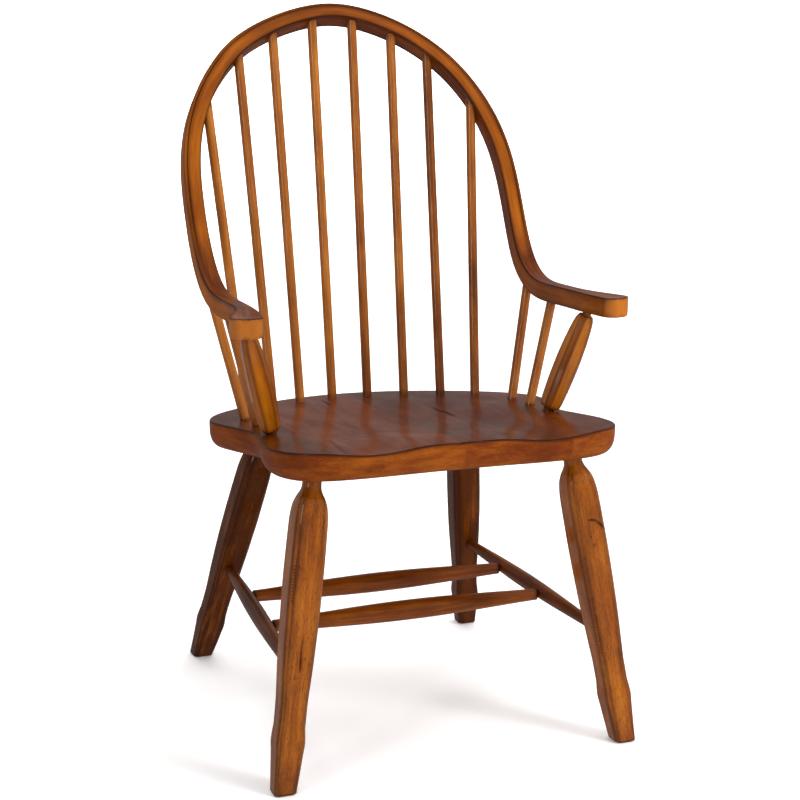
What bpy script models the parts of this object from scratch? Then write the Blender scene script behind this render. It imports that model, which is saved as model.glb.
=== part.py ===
"""Bow back armchair: one bent bow for back and arms, saddled seat, spindles, legs and stretchers.

Metres, +Z up. The chair faces -Y, +X is the viewer's right, the origin lies on the floor
in the middle of the chair's length. The places below are drawn from another point of its
middle plane, and the finished pieces are moved to that origin at the end.
"""

from math import cos, pi, radians, sin

import bmesh
import bpy
import numpy as np
from mathutils import Vector

CLEAR = 0.0003
TURN_STEPS = 24
SHARP_ANGLE = radians(28.0)
# Small chamfer on the ends of turned pieces, and the width of the leg tenons' chamfer.
TURN_EASE = 0.0008
TENON_EASE = 0.0010
# How far a socket's cutter runs on past the surface that it opens.
SOCKET_RUN_OUT = 0.0400

# Main sizes. The tables below give shapes, and the bow, the outline of the seat and all that
# meets them are stretched to these. Heights of the bow are above REAR_DECK_Z.
SEAT_HALF_WIDTH = 0.2795
SEAT_LENGTH = 0.5520
SEAT_BACK_Y = 0.2560
ARM_END_X = 0.2868
CREST_Y = 0.3032
BOW_LENGTH = 0.4790
ARM_HEIGHT = 0.2130
CREST_HEIGHT = 0.6363

# Seat plank: the deck falls to the back, REAR_DECK_Z is its height at REAR_DECK_Y.
REAR_DECK_Z = 0.4525
REAR_DECK_Y = 0.2135
DECK_SLOPE = 0.0794
SEAT_THICK = 0.0435
SEAT_HALF_OUTLINE = (
    (0.000, -0.2920), (0.060, -0.2935), (0.115, -0.2960), (0.165, -0.2960), (0.208, -0.2900),
    (0.238, -0.2740), (0.258, -0.2470), (0.2665, -0.2130), (0.2655, -0.1750), (0.2585, -0.1350),
    (0.2510, -0.1010), (0.2485, -0.0730), (0.2535, -0.0430), (0.2640, -0.0070), (0.2745, 0.0310),
    (0.2795, 0.0610), (0.2730, 0.0930), (0.2550, 0.1260), (0.2265, 0.1580), (0.1870, 0.1895),
    (0.1410, 0.2175), (0.0900, 0.2400), (0.0450, 0.2520), (0.000, 0.2560),
)
SEAT_EDGE_RINGS = (
    (0.0220, 0.0410), (0.0145, 0.0395), (0.0085, 0.0362), (0.0042, 0.0310), (0.0016, 0.0245),
    (0.0003, 0.0170), (0.0, 0.0090), (0.0, 0.0014), (0.0010, 0.0),
)
SEAT_OUTLINE_POINTS = 96
SEAT_TOP_FRACTIONS = (0.965, 0.90, 0.80, 0.68, 0.54, 0.38, 0.20)
SADDLE_CENTRE_Y = -0.045
BOWL_DEPTH = 0.009
BOWL_HALF_WIDTH = 0.195
BOWL_HALF_LENGTH = 0.200
THIGH_DEPTH = 0.0065
THIGH_CENTRE_X = 0.135
THIGH_HALF_WIDTH = 0.085
THIGH_START_Y = 0.020
THIGH_FULL_Y = -0.160

# Bow: stations from the middle of the crest to the end of one arm, on the middle line of the
# moulded front face: x, y, height above REAR_DECK_Z, face width, angle of the depth direction
# below the horizontal.
BOW_DEPTH = 0.0300
BOW_STATIONS = (
    (0.0000, 0.3032, 0.6363, 0.0270, 39.5),
    (0.0665, 0.3020, 0.6257, 0.0273, 38.5),
    (0.1210, 0.2985, 0.6049, 0.0276, 37.0),
    (0.1614, 0.2910, 0.5815, 0.0278, 36.0),
    (0.1960, 0.2730, 0.5514, 0.0279, 34.0),
    (0.2283, 0.2504, 0.5100, 0.0279, 31.5),
    (0.2529, 0.2247, 0.4611, 0.0279, 29.0),
    (0.2683, 0.1915, 0.3966, 0.0280, 28.0),
    (0.2715, 0.1590, 0.3325, 0.0281, 29.0),
    (0.2708, 0.1320, 0.2830, 0.0285, 33.0),
    (0.2690, 0.1040, 0.2470, 0.0290, 47.0),
    (0.2670, 0.0650, 0.2220, 0.0285, 68.0),
    (0.2650, 0.0200, 0.2130, 0.0265, 84.0),
    (0.2647, -0.0300, 0.2130, 0.0252, 90.0),
    (0.2662, -0.0850, 0.2145, 0.0258, 91.0),
    (0.2722, -0.1260, 0.2150, 0.0334, 91.0),
    (0.2796, -0.1535, 0.2152, 0.0418, 91.0),
    (0.2868, -0.1758, 0.2152, 0.0480, 91.0),
)
BOW_MESH_STEPS = 84
BOW_QUERY_STEPS = 1600
BOW_FRONT_ROUND = 0.0022
BOW_BACK_ROUND = 0.0040
ARM_END_ROUND = 0.0160
ARM_END_ANGLES = (28.0, 52.0, 72.0, 88.0)
BEAD_OFFSET = 0.0058
BEAD_HALF_GAP = 0.0008
BEAD_DEPTH = 0.0011
# The bead fades out between these heights above REAR_DECK_Z.
BEAD_FADE_LOW = 0.2225
BEAD_FADE_HIGH = 0.3075
TANGENT_STEP = 0.0005
SEARCH_STEP = 0.0002

# Long back spindles, outermost first: seat x, seat y, x where the spindle meets the bow's inside.
SPINDLE_SEAT_RADIUS = 0.0077
SPINDLE_BOW_RADIUS = 0.0079
BACK_SPINDLES = (
    (0.1980, 0.1410, 0.2278),
    (0.1474, 0.1710, 0.1640),
    (0.0920, 0.1993, 0.1030),
    (0.0312, REAR_DECK_Y, 0.0350),
)
BOW_SOCKET_DEPTH = 0.0090
SPINDLE_SEAT_DEPTH = 0.0200
BOW_AIM_SHARE = 0.50
# Height share of the middle of a spindle's taper.
TAPER_SHARE = 0.60

# Short arm spindles and arm posts: seat x, seat y, y on the arm's middle line where they meet.
ARM_SPINDLE_RADIUS = 0.0076
ARM_SPINDLE_REAR = (0.2265, 0.0535, 0.0770)
ARM_SPINDLE_FRONT = (0.2265, -0.0150, -0.0060)
ARM_SOCKET_DEPTH = 0.0120
POST_PLACE = (0.2251, -0.0854, -0.1210)
POST_TOP_NECK = 0.0068
POST_FOOT_NECK = 0.0085
POST_NECK_SHOW = 0.0070
POST_SIDE = 0.0334
POST_SECTION_RATIOS = (
    (0.00, 0.74, 0.20), (0.035, 0.88, 0.22), (0.13, 0.935, 0.21), (0.30, 0.985, 0.20),
    (0.48, 1.00, 0.20), (0.66, 0.96, 0.20), (0.83, 0.87, 0.21), (0.95, 0.75, 0.22),
    (1.00, 0.60, 0.24),
)

# Legs: the point of the axis at the height REAR_DECK_Z, and how far out from it, in x and in
# y, the foot stands on the floor.
FRONT_AIM = (0.2016, -0.2125)
FRONT_SPLAY_X = 0.0689
FRONT_SPLAY_Y = 0.0685
BACK_AIM = (0.1668, 0.1200)
BACK_SPLAY_X = 0.0807
BACK_SPLAY_Y = 0.1640
FRONT_LEG_SIDE = 0.0512
BACK_LEG_SIDE = 0.0496
LEG_NECK_RATIO = 0.550
LEG_TENON_DEPTH = 0.0260
LEG_CHAMFER_SHARE = 0.150
FOOT_CHAMFER = 0.0018
# Share of the way from the foot to the seat, side as a share of the full side, roundness.
LEG_SECTION_RATIOS = (
    (0.072, 0.745, 0.0), (0.125, 0.805, 0.0), (0.160, 0.850, 0.0), (0.182, 0.832, 0.0),
    (0.215, 0.790, 0.0), (0.270, 0.792, 0.0), (0.340, 0.838, 0.0), (0.420, 0.900, 0.0),
    (0.520, 0.955, 0.0), (0.640, 0.988, 0.0), (0.740, 1.000, 0.02), (0.846, 1.000, 0.06),
    (0.898, 0.968, 0.16), (0.928, 0.895, 0.38), (0.948, 0.780, 0.70), (0.963, 0.650, 0.92),
    (0.975, 0.590, 1.0),
)
FOOT_SIDE_RATIO = 0.660

# Stretchers: the side ones run from leg axis to leg axis, the cross ones between them.
SIDE_FRONT_Z = 0.1670
SIDE_BACK_Z = 0.1765
SIDE_END_RADIUS = 0.0078
SIDE_MIDDLE_RADIUS = 0.0127
STRETCHER_LEG_DEPTH = 0.0160
# The straight end of a side stretcher shows this far outside the leg before it swells.
SIDE_STRAIGHT_SHOW = 0.0030
SWELL_POWER = 1.3
SWELL_SHARES = (0.04, 0.16, 0.28, 0.40, 0.50, 0.60, 0.72, 0.84, 0.96)
CROSS_SHARES = (0.395, 0.678)
CROSS_DROP = 0.0020
CROSS_END_RADIUS = 0.0094
CROSS_MIDDLE_RADIUS = 0.0158
CROSS_TENON_RADIUS = 0.0060
CROSS_TENON_DEPTH = 0.0120

# Stained woods: name, linear colour, roughness.
SEAT_WOOD = ("seat wood", (0.20, 0.060, 0.022), 0.28)
BOW_WOOD = ("bow wood", (0.33, 0.12, 0.030), 0.30)
SPINDLE_WOOD = ("spindle wood", (0.30, 0.105, 0.028), 0.32)
POST_WOOD = ("arm post wood", (0.36, 0.13, 0.032), 0.30)
LEG_WOOD = ("leg wood", (0.31, 0.11, 0.028), 0.32)
STRETCHER_WOOD = ("stretcher wood", (0.17, 0.050, 0.020), 0.32)


class Stretch:
    """Straight map of a coordinate from the span that a table is drawn in to a named span."""

    def __init__(self, drawn, low, high):
        self.start = min(drawn)
        self.low = low
        self.ratio = (high - low) / (max(drawn) - self.start)

    def __call__(self, value):
        return self.low + (value - self.start) * self.ratio


SEAT_X = Stretch([row[0] for row in SEAT_HALF_OUTLINE], 0.0, SEAT_HALF_WIDTH)
SEAT_Y = Stretch([row[1] for row in SEAT_HALF_OUTLINE], SEAT_BACK_Y - SEAT_LENGTH, SEAT_BACK_Y)
BOW_X = Stretch([row[0] for row in BOW_STATIONS], 0.0, ARM_END_X)
BOW_Y = Stretch([row[1] for row in BOW_STATIONS], CREST_Y - BOW_LENGTH, CREST_Y)
BOW_Z = Stretch([row[2] for row in BOW_STATIONS], REAR_DECK_Z + ARM_HEIGHT,
                REAR_DECK_Z + CREST_HEIGHT)


def new_collection(name):
    """Make a collection under the scene."""
    made = bpy.data.collections.new(name)
    bpy.context.scene.collection.children.link(made)
    return made


def wood(name, colour, roughness):
    """Make one stained wood material."""
    made = bpy.data.materials.new(name)
    made.use_nodes = True
    shader = made.node_tree.nodes["Principled BSDF"]
    shader.inputs["Base Color"].default_value = (*colour, 1.0)
    shader.inputs["Roughness"].default_value = roughness
    made.diffuse_color = (*colour, 1.0)
    return made


def spline(knots, values, where):
    """Natural cubic spline through the values at the knots, evaluated at the given places."""
    knots = np.asarray(knots, float)
    values = np.asarray(values, float)
    count = len(knots)
    gap = np.diff(knots)
    system = np.eye(count)
    right = np.zeros_like(values)
    for i in range(1, count - 1):
        system[i, i - 1] = gap[i - 1]
        system[i, i] = 2.0 * (gap[i - 1] + gap[i])
        system[i, i + 1] = gap[i]
        slope_after = (values[i + 1] - values[i]) / gap[i]
        slope_before = (values[i] - values[i - 1]) / gap[i - 1]
        right[i] = 6.0 * (slope_after - slope_before)
    bend = np.linalg.solve(system, right)
    where = np.asarray(where, float)
    k = np.clip(np.searchsorted(knots, where, side="right") - 1, 0, count - 2)
    h = gap[k][:, None]
    a = (knots[k + 1] - where)[:, None] / h
    b = (where - knots[k])[:, None] / h
    curved = ((a ** 3 - a) * bend[k] + (b ** 3 - b) * bend[k + 1]) * h * h / 6.0
    return a * values[k] + b * values[k + 1] + curved


def chord_lengths(points):
    """Running chord length along points."""
    steps = np.linalg.norm(np.diff(points, axis=0), axis=1)
    return np.concatenate([[0.0], np.cumsum(steps)])


def mesh_object(name, points, faces, material, collection):
    """Object from points and faces, with its normals outward and its round parts smooth."""
    mesh = bpy.data.meshes.new(name)
    mesh.from_pydata([tuple(p) for p in points], [], faces)
    shape = bmesh.new()
    shape.from_mesh(mesh)
    bmesh.ops.recalc_face_normals(shape, faces=shape.faces)
    shape.to_mesh(mesh)
    shape.free()
    mesh.shade_smooth()
    mesh.set_sharp_from_angle(angle=SHARP_ANGLE)
    made = bpy.data.objects.new(name, mesh)
    if material is not None:
        mesh.materials.append(material)
    collection.objects.link(made)
    return made


def loft(name, rings, material, collection):
    """Closed solid through rings of equally many points, with flat end faces."""
    count = len(rings[0])
    points = [p for ring in rings for p in ring]
    faces = []
    for j in range(len(rings) - 1):
        for i in range(count):
            n = (i + 1) % count
            faces.append((j * count + i, j * count + n, (j + 1) * count + n, (j + 1) * count + i))
    faces.append(tuple(reversed(range(count))))
    last = (len(rings) - 1) * count
    faces.append(tuple(range(last, last + count)))
    return mesh_object(name, points, faces, material, collection)


def turned(name, profile, foot, tip, material, collection, steps=TURN_STEPS):
    """Turned piece: profile of (radius, height) from its top down, stood from foot to tip."""
    mesh = bpy.data.meshes.new(name)
    edges = [(i, i + 1) for i in range(len(profile) - 1)]
    mesh.from_pydata([(radius, 0.0, height) for radius, height in profile], edges, [])
    made = bpy.data.objects.new(name, mesh)
    if material is not None:
        mesh.materials.append(material)
    collection.objects.link(made)
    screw = made.modifiers.new("turn", "SCREW")
    screw.axis = "Z"
    screw.steps = steps
    screw.render_steps = steps
    screw.use_merge_vertices = True
    screw.merge_threshold = 0.00001
    screw.use_smooth_shade = True
    place_along(made, foot, tip)
    return made


def place_along(piece, foot, tip):
    """Stand a piece at foot with its own +Z toward tip."""
    axis = (Vector(tip) - Vector(foot)).normalized()
    turn = Vector((0.0, 0.0, 1.0)).rotation_difference(axis)
    piece.rotation_mode = "QUATERNION"
    piece.rotation_quaternion = turn
    piece.location = foot


def pin(foot, tip, radius, collection, name):
    """Plain round cutter from foot to tip."""
    length = (Vector(tip) - Vector(foot)).length
    profile = [(0.0, length), (radius, length), (radius, 0.0), (0.0, 0.0)]
    made = turned(name, profile, foot, tip, None, collection)
    made.hide_render = True
    made.display_type = "WIRE"
    return made


def bore(host, cutters):
    """Cut every cutter out of the host."""
    for number, cutter in enumerate(cutters):
        cut = host.modifiers.new("socket_%d" % (number + 1), "BOOLEAN")
        cut.operation = "DIFFERENCE"
        cut.solver = "EXACT"
        cut.object = cutter


def deck_height(x, y):
    """Height of the flat deck plane of the seat."""
    return REAR_DECK_Z + DECK_SLOPE * (REAR_DECK_Y - y)


def smooth_share(value, low, high):
    """Smooth step from 0 at low to 1 at high."""
    t = min(max((value - low) / (high - low), 0.0), 1.0)
    return t * t * (3.0 - 2.0 * t)


def saddle_dip(x, y):
    """Depth of the carved saddle below the deck plane."""
    away = (x / BOWL_HALF_WIDTH) ** 2 + ((y - SADDLE_CENTRE_Y) / BOWL_HALF_LENGTH) ** 2
    bowl = BOWL_DEPTH * max(0.0, 1.0 - away) ** 2
    side = ((abs(x) - THIGH_CENTRE_X) / THIGH_HALF_WIDTH) ** 2
    front = smooth_share(y, THIGH_START_Y, THIGH_FULL_Y)
    thigh = THIGH_DEPTH * max(0.0, 1.0 - side) ** 2 * front
    return bowl + thigh


def seat_outline():
    """Closed plan outline of the seat with its inward normals."""
    half = [(SEAT_X(x), SEAT_Y(y)) for x, y in SEAT_HALF_OUTLINE]
    mirrored = [(-x, y) for x, y in reversed(half[1:-1])]
    closed = half + mirrored
    wrapped = np.array(closed[-4:] + closed + closed[:5])
    run = chord_lengths(wrapped)
    start = run[4]
    total = run[4 + len(closed)] - start
    where = start + total * np.arange(SEAT_OUTLINE_POINTS) / SEAT_OUTLINE_POINTS
    plan = spline(run, wrapped, where)
    along = np.roll(plan, -1, axis=0) - np.roll(plan, 1, axis=0)
    along /= np.linalg.norm(along, axis=1)[:, None]
    inward = np.stack([-along[:, 1], along[:, 0]], axis=1)
    return plan, inward


def build_seat(material, collection):
    """Saddled plank with a crisp top edge and sides rounded under."""
    plan, inward = seat_outline()
    points = []
    rings = []
    for inset, depth in SEAT_EDGE_RINGS:
        share = 1.0 - depth / SEAT_EDGE_RINGS[0][1]
        drop = depth * SEAT_THICK / SEAT_EDGE_RINGS[0][1]
        ring = []
        for p, n in zip(plan, inward):
            x, y = p + n * inset
            z = deck_height(x, y) - drop - saddle_dip(x, y) * share
            ring.append(len(points))
            points.append((x, y, z))
        rings.append(ring)
    edge_inset = SEAT_EDGE_RINGS[-1][0]
    centre = np.array((0.0, SADDLE_CENTRE_Y))
    for share in SEAT_TOP_FRACTIONS:
        ring = []
        for p, n in zip(plan, inward):
            x, y = centre + (p + n * edge_inset - centre) * share
            ring.append(len(points))
            points.append((x, y, deck_height(x, y) - saddle_dip(x, y)))
        rings.append(ring)
    faces = []
    count = SEAT_OUTLINE_POINTS
    for low, high in zip(rings[:-1], rings[1:]):
        for i in range(count):
            n = (i + 1) % count
            faces.append((low[i], low[n], high[n], high[i]))
    faces.append(tuple(reversed(rings[0])))
    middle = len(points)
    points.append((0.0, SADDLE_CENTRE_Y, deck_height(0.0, SADDLE_CENTRE_Y) - BOWL_DEPTH))
    for i in range(count):
        faces.append((rings[-1][i], rings[-1][(i + 1) % count], middle))
    return mesh_object("seat", points, faces, material, collection)


class BowPath:
    """Middle line of the bow's front face with the frames of its section."""

    def __init__(self):
        right = [np.array((BOW_X(row[0]), BOW_Y(row[1]), BOW_Z(row[2]), row[3], row[4]))
                 for row in BOW_STATIONS]
        left = [row * np.array((-1.0, 1.0, 1.0, 1.0, 1.0)) for row in reversed(right[1:])]
        self.rows = np.array(left + right)
        self.run = chord_lengths(self.rows[:, :3])
        self.length = self.run[-1]
        self.dense_at = np.linspace(0.0, self.length, BOW_QUERY_STEPS + 1)
        self.dense = self.frames(self.dense_at)

    def frames(self, where):
        """Middle, tangent, outward and depth direction and width at the given lengths."""
        where = np.atleast_1d(np.asarray(where, float))
        rows = spline(self.run, self.rows, where)
        low = np.clip(where - TANGENT_STEP, 0.0, self.length)
        high = np.clip(where + TANGENT_STEP, 0.0, self.length)
        tangent = spline(self.run, self.rows[:, :3], high) - spline(self.run, self.rows[:, :3], low)
        tangent /= np.linalg.norm(tangent, axis=1)[:, None]
        lean = np.radians(rows[:, 4])
        inward = np.stack([np.zeros(len(rows)), np.cos(lean), -np.sin(lean)], axis=1)
        inward -= np.sum(inward * tangent, axis=1)[:, None] * tangent
        inward /= np.linalg.norm(inward, axis=1)[:, None]
        outward = np.cross(tangent, inward)
        return rows[:, :3], tangent, outward, inward, rows[:, 3]

    def place(self, axis, value, side, across=0.0, into=0.0):
        """Length at which a line of the right or left half passes a value of x (0) or y (1)."""
        half = self.length / 2.0
        keep = self.dense_at >= half
        middle, _, outward, inward, width = (part[keep] for part in self.dense)
        line = middle + outward * width[:, None] * across + inward * BOW_DEPTH * into
        index = int(np.argmin(np.abs(line[:, axis] - value)))
        away = self.dense_at[keep][index] - half
        return half + side * away

    def point(self, where, across, into):
        """Point at a length, offset across the face and into the depth."""
        middle, _, outward, inward, width = self.frames(where)
        return middle[0] + outward[0] * width[0] * across + inward[0] * BOW_DEPTH * into

    def inside(self, point):
        """Whether a point lies inside the plain section of the bow."""
        middle, _, outward, inward, width = self.dense
        k = int(np.argmin(np.sum((middle + inward * BOW_DEPTH * 0.5 - point) ** 2, axis=1)))
        away = point - middle[k]
        across = abs(float(away @ outward[k]))
        into = float(away @ inward[k])
        return across < width[k] / 2.0 and 0.0 < into < BOW_DEPTH

    def entry(self, foot, aim):
        """Point where the line from foot toward aim first enters the bow, and its direction."""
        axis = (aim - foot) / np.linalg.norm(aim - foot)
        reach = np.linalg.norm(aim - foot) - BOW_DEPTH
        furthest = reach + 3.0 * BOW_DEPTH
        while not self.inside(foot + axis * reach):
            reach += SEARCH_STEP
            if reach > furthest:
                raise ValueError("line misses the bow")
        return foot + axis * reach, axis


def bow_section(width, depth, bead):
    """Section of the bow: across and into coordinates, moulded front face first."""
    half = width / 2.0
    front = BOW_FRONT_ROUND
    back = BOW_BACK_ROUND
    cut = 1.0 - cos(pi / 4.0)
    groove = half - BEAD_OFFSET
    return [
        (-half, front), (-half + front * cut, front * cut), (-half + front, 0.0),
        (groove - BEAD_HALF_GAP, 0.0), (groove, bead), (groove + BEAD_HALF_GAP, 0.0),
        (half - front, 0.0), (half - front * cut, front * cut), (half, front),
        (half, depth - back), (half - back * cut, depth - back * cut), (half - back, depth),
        (-half + back, depth), (-half + back * cut, depth - back * cut), (-half, depth - back),
    ]


def build_bow(path, material, collection):
    """Loft of the bow with blunt rounded arm ends."""
    shares = np.linspace(0.0, 1.0, BOW_MESH_STEPS + 1)
    where = shares * path.length
    middle, tangent, outward, inward, width = path.frames(where)
    stations = []
    for k in range(len(where)):
        stations.append((middle[k], outward[k], inward[k], width[k]))
    for end, sign in ((0, -1.0), (len(where) - 1, 1.0)):
        rounded = []
        for angle in ARM_END_ANGLES:
            turn = radians(angle)
            at = middle[end] + sign * tangent[end] * ARM_END_ROUND * sin(turn)
            narrow = width[end] - 2.0 * ARM_END_ROUND * (1.0 - cos(turn))
            rounded.append((at, outward[end], inward[end], narrow))
        if end == 0:
            stations = list(reversed(rounded)) + stations
        else:
            stations = stations + rounded
    rings = []
    for at, across, into, wide in stations:
        above = at[2] - REAR_DECK_Z
        bead = BEAD_DEPTH * smooth_share(above, BEAD_FADE_LOW, BEAD_FADE_HIGH)
        ring = [at + across * a + into * b for a, b in bow_section(wide, BOW_DEPTH, bead)]
        rings.append(ring)
    return loft("bow", rings, material, collection)


def squared_ring(centre, u, v, side, chamfer, roundness, neck):
    """Sixteen points between a chamfered square and a circle of the neck radius."""
    half = side / 2.0
    cut = half - side * chamfer
    corners = ((half, 0.0), (half, cut), ((half + cut) / 2.0, (half + cut) / 2.0), (cut, half))
    ring = []
    for quarter in range(4):
        c = cos(quarter * pi / 2.0)
        s = sin(quarter * pi / 2.0)
        for a, b in corners:
            flat = np.array((a * c - b * s, a * s + b * c))
            round_to = flat / np.linalg.norm(flat) * neck
            at = flat * (1.0 - roundness) + round_to * roundness
            ring.append(centre + u * at[0] + v * at[1])
    return ring


def axis_frame(axis):
    """Two directions square to an axis, the first near the chair's X."""
    u = np.array((1.0, 0.0, 0.0)) - axis * axis[0]
    u /= np.linalg.norm(u)
    return u, np.cross(axis, u)


def round_ring(centre, u, v, radius):
    """Sixteen points on a circle, matching the squared rings."""
    return squared_ring(centre, u, v, 2.0 * radius, LEG_CHAMFER_SHARE, 1.0, radius)


class LegPlan:
    """Axis, sizes and seat joint of one leg."""

    def __init__(self, name, aim, splay_x, splay_y, side, mirror):
        self.name = name
        self.side = side
        aim_point = np.array((mirror * SEAT_X(aim[0]), SEAT_Y(aim[1]), REAR_DECK_Z))
        self.foot = np.array((aim_point[0] + mirror * splay_x, aim_point[1] + splay_y, 0.0))
        self.axis = (aim_point - self.foot) / np.linalg.norm(aim_point - self.foot)
        # The axis meets the seat's flat underside at this length.
        under = REAR_DECK_Z + DECK_SLOPE * REAR_DECK_Y - SEAT_THICK
        self.reach = (under - DECK_SLOPE * self.foot[1]) / (self.axis[2] + DECK_SLOPE * self.axis[1])
        self.neck = side * LEG_NECK_RATIO / 2.0
        self.made = None

    def at_height(self, z):
        """Point of the axis at a height."""
        return self.foot + self.axis * (z / self.axis[2])

    def tenon_top(self, extra=0.0):
        """End of the tenon inside the seat."""
        return self.foot + self.axis * (self.reach + LEG_TENON_DEPTH + extra)


def on_floor_plane(ring, axis, height):
    """Slide ring points along the axis onto a level plane."""
    return [p - axis * ((p[2] - height) / axis[2]) for p in ring]


def build_leg(plan, material, collection):
    """Leg with an angular flared foot, chamfered shaft, rounded shoulder and round neck."""
    u, v = axis_frame(plan.axis)
    rings = []
    foot_side = plan.side * FOOT_SIDE_RATIO
    for height, side in ((0.0, foot_side - 2.0 * FOOT_CHAMFER), (FOOT_CHAMFER, foot_side)):
        ring = squared_ring(plan.foot, u, v, side, LEG_CHAMFER_SHARE, 0.0, plan.neck)
        rings.append(on_floor_plane(ring, plan.axis, height))
    for share, ratio, roundness in LEG_SECTION_RATIOS:
        centre = plan.foot + plan.axis * plan.reach * share
        side = plan.side * ratio
        rings.append(squared_ring(centre, u, v, side, LEG_CHAMFER_SHARE, roundness, plan.neck))
    for length in (plan.reach, plan.reach + LEG_TENON_DEPTH - TENON_EASE):
        rings.append(round_ring(plan.foot + plan.axis * length, u, v, plan.neck))
    rings.append(round_ring(plan.tenon_top(), u, v, plan.neck - TENON_EASE))
    return loft(plan.name, rings, material, collection)


def seat_point(side, x, y):
    """Point on the deck plane for a drawn place, on the right (1) or left (-1) half."""
    return np.array((side * SEAT_X(x), SEAT_Y(y), deck_height(SEAT_X(x), SEAT_Y(y))))


def spindle_profile(length, low_radius, high_radius):
    """Slightly tapered spindle with eased ends, from the top down."""
    middle_radius = low_radius + (high_radius - low_radius) * TAPER_SHARE
    return [
        (0.0, length), (high_radius - TURN_EASE, length), (high_radius, length - TURN_EASE),
        (middle_radius, length * TAPER_SHARE), (low_radius, TURN_EASE),
        (low_radius - TURN_EASE, 0.0), (0.0, 0.0),
    ]


class SpindlePlan:
    """One spindle between the seat and the bow with its two sockets."""

    def __init__(self, name, path, deck, aim, low_radius, high_radius, depth):
        self.name = name
        self.low_radius = low_radius
        self.high_radius = high_radius
        entry, axis = path.entry(deck, aim)
        self.axis = axis
        self.foot = deck - axis * SPINDLE_SEAT_DEPTH
        self.tip = entry + axis * depth

    def build(self, material, collection):
        """Make the turned spindle."""
        length = float(np.linalg.norm(self.tip - self.foot))
        profile = spindle_profile(length, self.low_radius, self.high_radius)
        return turned(self.name, profile, self.foot, self.tip, material, collection)

    def seat_cutter(self, collection):
        """Socket in the seat."""
        low = self.foot - self.axis * CLEAR
        high = self.foot + self.axis * (SPINDLE_SEAT_DEPTH * 2.0)
        return pin(low, high, self.low_radius + CLEAR, collection, self.name + "_seat_socket")

    def bow_cutter(self, collection):
        """Socket in the bow."""
        high = self.tip + self.axis * CLEAR
        low = self.tip - self.axis * SOCKET_RUN_OUT
        return pin(low, high, self.high_radius + CLEAR, collection, self.name + "_bow_socket")


def back_spindle_plans(path):
    """The eight long spindles, numbered from the viewer's left."""
    plans = []
    order = [(-1.0, row) for row in BACK_SPINDLES] + [(1.0, row) for row in reversed(BACK_SPINDLES)]
    for number, (side, (seat_x, seat_y, bow_x)) in enumerate(order, start=1):
        where = path.place(0, BOW_X(bow_x), side, -0.5, BOW_AIM_SHARE)
        aim = path.point(where, -0.5, BOW_AIM_SHARE)
        _, _, outward, _, _ = path.frames(where)
        deck = seat_point(side, seat_x, seat_y)
        axis = (aim - deck) / np.linalg.norm(aim - deck)
        depth = BOW_SOCKET_DEPTH / float(axis @ outward[0])
        plans.append(SpindlePlan("back_spindle_%d" % number, path, deck, aim,
                                 SPINDLE_SEAT_RADIUS, SPINDLE_BOW_RADIUS, depth))
    return plans


def arm_spindle_plans(path):
    """The four short spindles under the arms."""
    plans = []
    for word, side in (("left", -1.0), ("right", 1.0)):
        for place, row in (("rear", ARM_SPINDLE_REAR), ("front", ARM_SPINDLE_FRONT)):
            seat_x, seat_y, arm_y = row
            aim = path.point(path.place(1, BOW_Y(arm_y), side), 0.0, 1.0)
            deck = seat_point(side, seat_x, seat_y)
            plans.append(SpindlePlan("arm_spindle_%s_%s" % (word, place), path, deck, aim,
                                     ARM_SPINDLE_RADIUS, ARM_SPINDLE_RADIUS, ARM_SOCKET_DEPTH))
    return plans


class PostPlan:
    """Arm post: chamfered square body with round necks into the seat and the arm."""

    def __init__(self, word, side, path):
        seat_x, seat_y, arm_y = POST_PLACE
        self.name = "arm_post_" + word
        deck = seat_point(side, seat_x, seat_y)
        aim = path.point(path.place(1, BOW_Y(arm_y), side), 0.0, 1.0)
        entry, self.axis = path.entry(deck, aim)
        self.deck = deck
        self.entry = entry
        self.foot = deck - self.axis * SPINDLE_SEAT_DEPTH
        self.tip = entry + self.axis * ARM_SOCKET_DEPTH

    def build(self, material, collection):
        """Make the post."""
        u, v = axis_frame(self.axis)
        # The body stands clear of the sloping deck and arm by the shown part of each neck.
        low = self.deck + self.axis * POST_NECK_SHOW
        high = self.entry - self.axis * POST_NECK_SHOW
        rings = [
            round_ring(self.foot, u, v, POST_FOOT_NECK - TURN_EASE),
            round_ring(self.foot + self.axis * TURN_EASE, u, v, POST_FOOT_NECK),
            round_ring(low, u, v, POST_FOOT_NECK),
        ]
        for share, ratio, chamfer in POST_SECTION_RATIOS:
            centre = low + (high - low) * share
            rings.append(squared_ring(centre, u, v, POST_SIDE * ratio, chamfer, 0.0, POST_TOP_NECK))
        rings.append(round_ring(high, u, v, POST_TOP_NECK))
        rings.append(round_ring(self.tip - self.axis * TURN_EASE, u, v, POST_TOP_NECK))
        rings.append(round_ring(self.tip, u, v, POST_TOP_NECK - TURN_EASE))
        return loft(self.name, rings, material, collection)

    def cutters(self, collection):
        """Sockets in the seat and in the arm."""
        seat_low = self.foot - self.axis * CLEAR
        seat_high = self.deck + self.axis * SPINDLE_SEAT_DEPTH
        arm_high = self.tip + self.axis * CLEAR
        arm_low = self.entry - self.axis * ARM_SOCKET_DEPTH
        return (
            pin(seat_low, seat_high, POST_FOOT_NECK + CLEAR, collection, self.name + "_seat_socket"),
            pin(arm_low, arm_high, POST_TOP_NECK + CLEAR, collection, self.name + "_arm_socket"),
        )


def swelled_radius(share, end_radius, middle_radius):
    """Radius of a stretcher at a share of its swelling length."""
    return end_radius + (middle_radius - end_radius) * sin(pi * share) ** SWELL_POWER


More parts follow.
